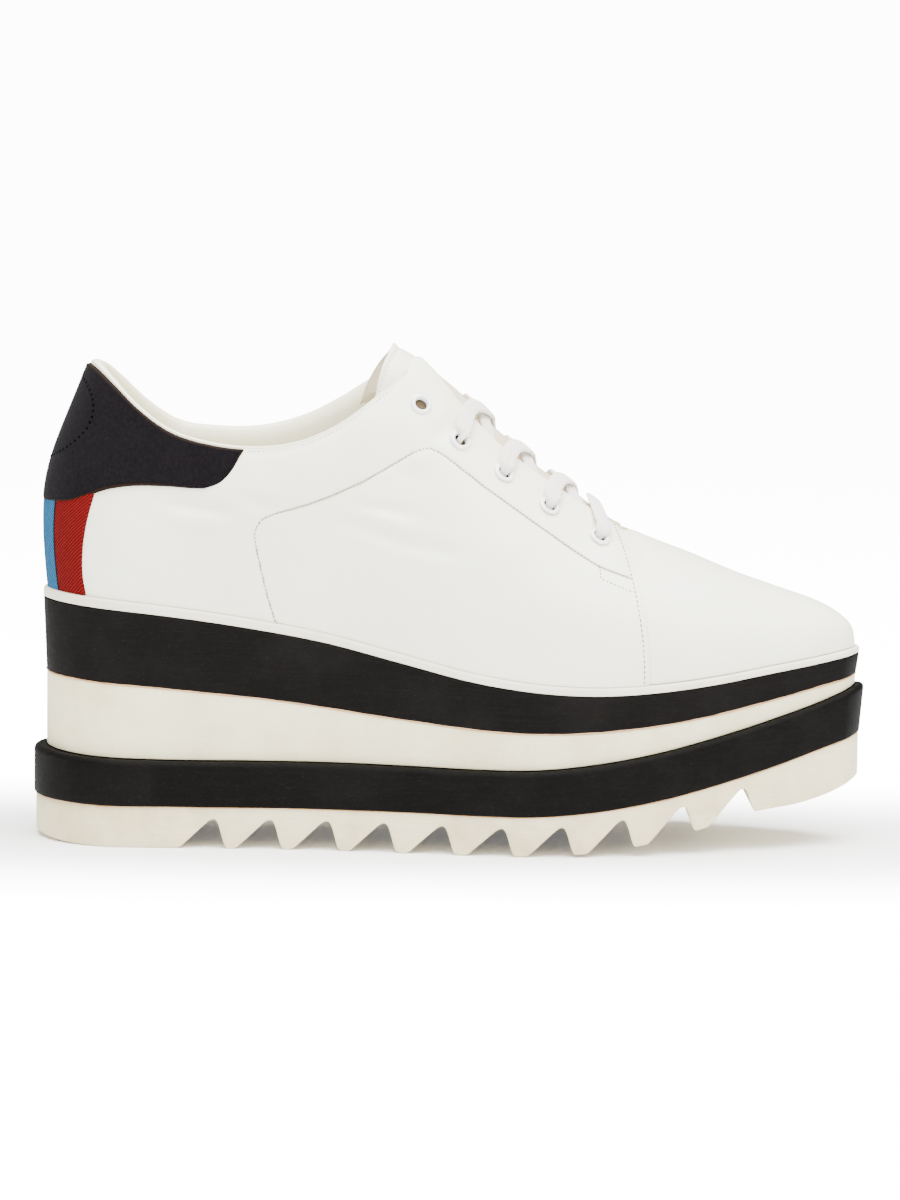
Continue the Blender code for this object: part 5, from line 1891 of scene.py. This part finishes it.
@dataclass
class Eyelets:
    """White enamelled eyelets, turned and pressed through the facings."""

    sides: int = 32
    shade_depth: float = 0.9
    profile: Path = (
        (2.52, -0.10), (3.62, -0.06), (3.76, 0.16), (3.70, 0.46), (3.42, 0.76), (3.02, 0.90),
        (2.60, 0.84), (2.30, 0.60), (2.16, 0.20), (2.12, -0.9), (2.10, -1.35), (0.0, -1.40),
        (0.0, -1.90), (2.52, -1.90))

    def build(self) -> None:
        """Build one eyelet for each CAD eyelet."""
        turns = np.arange(self.sides + 1) * 2 * pi / self.sides
        faces = grid_faces(len(turns), len(self.profile), around=True)
        for side, (number, row) in product(Side, enumerate(EYELETS, 1)):
            centre, out, along, across = eyelet_axes(side, row)
            rings = [centre + out * h + (along * cos(a) + across * sin(a)) * r
                     for a in turns for r, h in self.profile]
            name = "eyelet_%s_%d" % (side.name.lower(), number)
            item = make_mesh(name + "_enamel", np.array(rings), faces, [ENAMEL, HOLE_SHADE],
                             sharp=50.0)
            # Faces deeper than shade_depth take HOLE_SHADE: the barrel's closed floor, a dark disc
            # of painted shade in the hole.
            floor = Vector(world(centre - out * self.shade_depth))
            for face in item.data.polygons:
                face.material_index = int((face.center - floor).dot(Vector(out)) < 0)
            fit(item, "eyelet_enamel", name)


class Knot(NamedTuple):
    """A point of the lace: arch station, distance across, height, width, thickness and turn."""

    station: float
    across: float
    height: float
    width: float
    thick: float
    turn: float


@dataclass(frozen=True)
class Lace:
    """One flat woven lace: crossed under the facings and up through the next eyelets."""

    width: float = 5.7
    thick: float = 1.5
    drift: float = 1.2
    bulge: float = 0.8
    hole_width: float = 2.7
    hole_thick: float = 2.0
    step: float = 0.55
    section: int = 16
    over: float = 1.72
    under: float = -2.35

    @cache
    def spots(self, side: Side) -> list[Pair]:
        """Arch station and distance across of each eyelet of one side."""
        last, found = LASTS[side], []
        for row in EYELETS:
            x, y, _ = map(float, eyelet_axes(side, row)[0])
            found.append((float(bisect(lambda s: last.over_throat(s, y, QUARTER_STEP)[0] < x,
                                       ARCHES[0].crest_s, ARCHES[9].crest_s)), y))
        return found

    def gap_at(self, station: float) -> float:
        """Half-width of the throat."""
        return float(np.interp(station, *zip(*((row.crest_s, row.gap) for row in ARCHES))))

    def knot(self, station: float, across: float, height: float, spread_out: float, turn: float,
             goal: float) -> Knot:
        """Knot of a lace that spreads out and turns as it leaves an eyelet.

        Args:
            station: arch station.
            across: distance across.
            height: height over the leather.
            spread_out: how far it has spread out, from 0 in the eyelet to 1.
            turn: angle of the lace's width in the eyelet.
            goal: angle of its width when it is spread out.

        Returns:
            The knot.
        """
        narrow = float(ease(1.0 - spread_out))
        return Knot(station, across, height, self.width + (self.hole_width - self.width) * narrow,
                    self.thick + (self.hole_thick - self.thick) * narrow,
                    float(turn + (goal - turn) * ease(spread_out * 1.2)))

    def cross(self, start: Pair, goal: Pair, top: bool, turn: float) -> list[Knot]:
        """Knots from one eyelet, over its facing and under the other to the next eyelet.

        Args:
            start: arch place of the eyelet that it leaves.
            goal: arch place of the eyelet that it goes to.
            top: lie over the other strap in the middle.
            turn: angle of the lace's width as it comes up through the first eyelet.

        Returns:
            The knots, without the goal's own.
        """
        (s0, y0), (s1, y1) = start, goal
        angle = np.arctan2(s1 - s0, -(y1 - y0))
        angle += pi * round((turn - angle) / pi)
        side = -1.0 if y0 < 0 else 1.0
        edge0, edge1 = self.gap_at(s0), self.gap_at(s1)

        def at(across: float) -> float:
            share = (across - y0) / (y1 - y0)
            return s0 + (s1 - s0) * share - self.drift * sin(pi * min(max(share, 0.0), 0.5) * 2)

        middle = 1.9 if top else 0.75
        inner = ((0.6, -2.7, 0.0), (0.8, -0.9, 0.0), (1.0, 0.8, 0.2), (1.9, 2.2, 0.65),
                 (3.6, 2.5, 1.0))
        rows = [(y0 - side * inward, height, share) for inward, height, share in inner]
        rows += [(side * across, height, 1.0) for across, height in (
            (edge0 + 1.4, self.over + self.bulge), (edge0 - 1.2, self.over + self.bulge),
            (edge0 * 0.45, middle + 0.3), (0.0, middle), (-edge1 * 0.35, middle - 0.8),
            (1.6 - edge1, -1.0), (-edge1 - 0.6, self.under))]
        reach = y1 + side * 2.2
        return [self.knot(at(across), across, height, share, turn, angle)
                for across, height, share in rows] + [
            Knot(at(reach), reach, self.under - 0.5, 5.2, 1.7, float(angle))]

    def half(self, side: Side) -> list[Knot]:
        """Knots from the hidden end below the second eyelet to the middle of the lowest bar."""
        other = Side.MEDIAL if side is Side.LATERAL else Side.LATERAL
        order = (side, other, side, other)
        s, y = self.spots(side)[1]
        knots = [Knot(s - 7.0, y * 0.86, self.under - 0.6, 6.0, 1.4, pi / 2),
                 Knot(s - 3.0, y * 0.95, self.under - 0.7, 5.0, 1.6, pi / 2)]
        for k in (1, 2, 3):
            start, goal = self.spots(order[k - 1])[k], self.spots(order[k])[k + 1]
            top = (side is Side.LATERAL) == (k % 2 == 1)
            knots += self.cross(start, goal, top, knots[-1].turn)
        s, y = self.spots(order[3])[4]
        sign, turn = (-1.0 if y < 0 else 1.0), knots[-1].turn
        flat = pi * round(turn / pi)
        rows = ((0.0, 0.6, -2.7, 0.0), (0.0, 0.8, -0.9, 0.0), (0.1, 1.0, 0.8, 0.2),
                (0.5, 1.9, 2.3, 0.65), (0.9, 3.6, 3.1, 1.0),
                (1.0, 6.0, self.over + self.bulge, 1.0), (1.0, 9.0, self.over + 0.5, 1.0))
        return knots + [self.knot(s + ahead, y - sign * inward, height, share, turn, flat)
                        for ahead, inward, height, share in rows]

    def build(self) -> Object:
        """Sweep the lace's section along both halves, joined at the lowest bar."""
        first, second = self.half(Side.LATERAL), self.half(Side.MEDIAL)
        shift = pi * round((first[-1].turn - second[-1].turn) / pi)
        second = [knot._replace(turn=knot.turn + shift) for knot in second]
        bar = Knot((first[-1].station + second[-1].station) / 2, 0.0, self.over + 0.1, self.width,
                   self.thick, first[-1].turn)
        knots = first + [bar] + second[::-1]
        raw, high = (np.array([LASTS[Side.LATERAL if k.across < 0 else Side.MEDIAL].over_throat(
            k.station, k.across, k.height + more) for k in knots]) for more in (0.0, 1.0))
        run = lengths(raw)
        at = np.arange(0.0, run[-1], self.step)
        centre, out = smooth(run, raw, at), unit(smooth(run, high - raw, at))
        size = smooth(run, np.array([(k.width, k.thick) for k in knots]), at) / 2
        turn = smooth(run, np.array([k.turn for k in knots]), at)[:, None]
        ahead = unit(np.gradient(centre, axis=0))
        across = unit(np.array((0.0, 1.0, 0.0)) - out * out[:, 1:2])
        wide = np.cross(across, out) * np.cos(turn) + across * np.sin(turn)
        wide = unit(wide - ahead * np.sum(wide * ahead, axis=1, keepdims=True))
        thin = np.cross(ahead, wide)
        angles = np.arange(self.section) * 2 * pi / self.section
        shape = [(np.sign(cos(a)) * abs(cos(a)) ** 0.75, np.sign(sin(a)) * abs(sin(a)) ** 0.6)
                 for a in angles]
        rings = np.stack([centre + wide * (size[:, :1] * x) + thin * (size[:, 1:] * z)
                          for x, z in shape], 1)
        uv = np.stack(np.broadcast_arrays(np.array(shape)[:, 0] * 3.4, at[:, None]), -1)
        item = closed_tube("lace_flat_cotton", rings, COTTON, sharp=75.0, uv=uv.reshape(-1, 2))
        LOG.info("lace: %.0f mm modelled", run[-1])
        return fit(item, "lace_cotton", *("lace_crossing_%d" % k for k in (1, 2, 3, 4)))


# ---------- camera, floor and light
class Lamp(NamedTuple):
    """A soft square lamp aimed at the shoe."""

    name: str
    size: float
    power: float
    place: tuple[float, float, float]


LAMPS = (Lamp("overhead", 1.8, 165.0, (0.12, -0.25, 1.5)),
         Lamp("front_fill", 1.2, 20.0, (-0.7, -1.5, 0.30)),
         Lamp("toe_fill", 0.9, 12.0, (1.2, -0.9, 0.35)))


@dataclass
class Studio:
    """Pale floor that sweeps up behind the shoe, soft light and the camera; sizes in metres."""

    distance: float = 1.4
    height: float = 0.211
    aim_height: float = 0.081
    roll: float = 0.6
    lens: float = 123.71
    world_light: float = 0.5
    floor_half: float = 4.0
    sweep: float = 1.2
    sweep_from: float = 2.6
    glow: float = 12.0
    glow_under: float = 0.16
    glow_from: float = 0.05
    glow_full: float = 0.17

    def paper(self) -> Material:
        """Pale paper that the camera sees light up away from the shoe."""
        material, tree, shader = new_material("studio_paper")
        place = tree.add("ShaderNodeTexCoord").outputs["Object"]
        far = tree.add("ShaderNodeVectorMath", {0: tree.stretch(place, (0.3, 1.0, 1.0))},
                       operation="LENGTH").outputs["Value"]
        share = tree.band(far, self.glow_from, self.glow_full, (self.glow_under, self.glow))
        seen = tree.add("ShaderNodeLightPath").outputs["Is Camera Ray"]
        tree.wire(shader, {"Base Color": (0.93, 0.93, 0.93), "Roughness": 0.9,
                           "Specular IOR Level": 0.1, "Emission Color": (1.0, 1.0, 1.0),
                           "Emission Strength": tree.times(seen, share)})
        return material

    def floor(self) -> None:
        """Floor with a curved sweep far behind the shoe."""
        profile = [(-self.floor_half, 0.0)]
        profile += [(self.sweep_from + self.sweep * sin(t), self.sweep * (1 - cos(t)))
                    for t in np.linspace(0.0, pi / 2, 16)]
        profile.append((self.sweep_from + self.sweep, self.floor_half))
        points = [(x, y, z) for y, z in profile for x in (-self.floor_half, self.floor_half)]
        mesh = bpy.data.meshes.new("studio_floor")
        mesh.from_pydata(points, [], [(2 * k, 2 * k + 1, 2 * k + 3, 2 * k + 2)
                                      for k in range(len(profile) - 1)])
        mesh.shade_smooth()
        mesh.materials.append(self.paper())
        item = link("studio_floor", mesh)

    def lamp(self, lamp: Lamp) -> None:
        """Place one lamp."""
        light = bpy.data.lights.new(lamp.name, "AREA")
        light.size, light.energy = lamp.size, lamp.power
        item = link(lamp.name, light)
        item.location = lamp.place
        aim = Vector((0.0, 0.0, self.aim_height)) - item.location
        item.rotation_euler = aim.to_track_quat("-Z", "Y").to_euler()

    def build(self) -> None:
        """Floor, world, lamps and camera."""
        self.floor()
        world_light = bpy.data.worlds.new("studio_world")
        world_light.use_nodes = True
        tree = Tree(world_light.node_tree)
        tree.wire(tree.tree.nodes["Background"], {"Color": (1.0, 1.0, 1.0),
                                                  "Strength": self.world_light})
        bpy.context.scene.world = world_light
        for lamp in LAMPS:
            self.lamp(lamp)
        camera = link("camera", bpy.data.cameras.new("camera"))
        camera.data.lens = self.lens
        camera.data.sensor_width = 36.0
        pitch = atan((self.height - self.aim_height) / self.distance)
        place = Matrix.Translation((0.0, -self.distance - SHIFT_Y * MM, self.height))
        camera.matrix_world = (place @ Matrix.Rotation(pi / 2 - pitch, 4, "X")
                               @ Matrix.Rotation(radians(self.roll), 4, "Z"))
        bpy.context.scene.camera = camera


def main() -> None:
    """Build the studio and the shoe's sub-assemblies in order."""
    logging.basicConfig(level=logging.INFO, format="%(message)s")
    for piece in (Studio(), Sole(), UPPER, CollarLining(), Tongue(), SockLining(), HeelCounter(),
                  HeelRibbon(), Eyelets(), Lace(), Stitching()):
        piece.build()


if __name__ == "__main__":
    main()
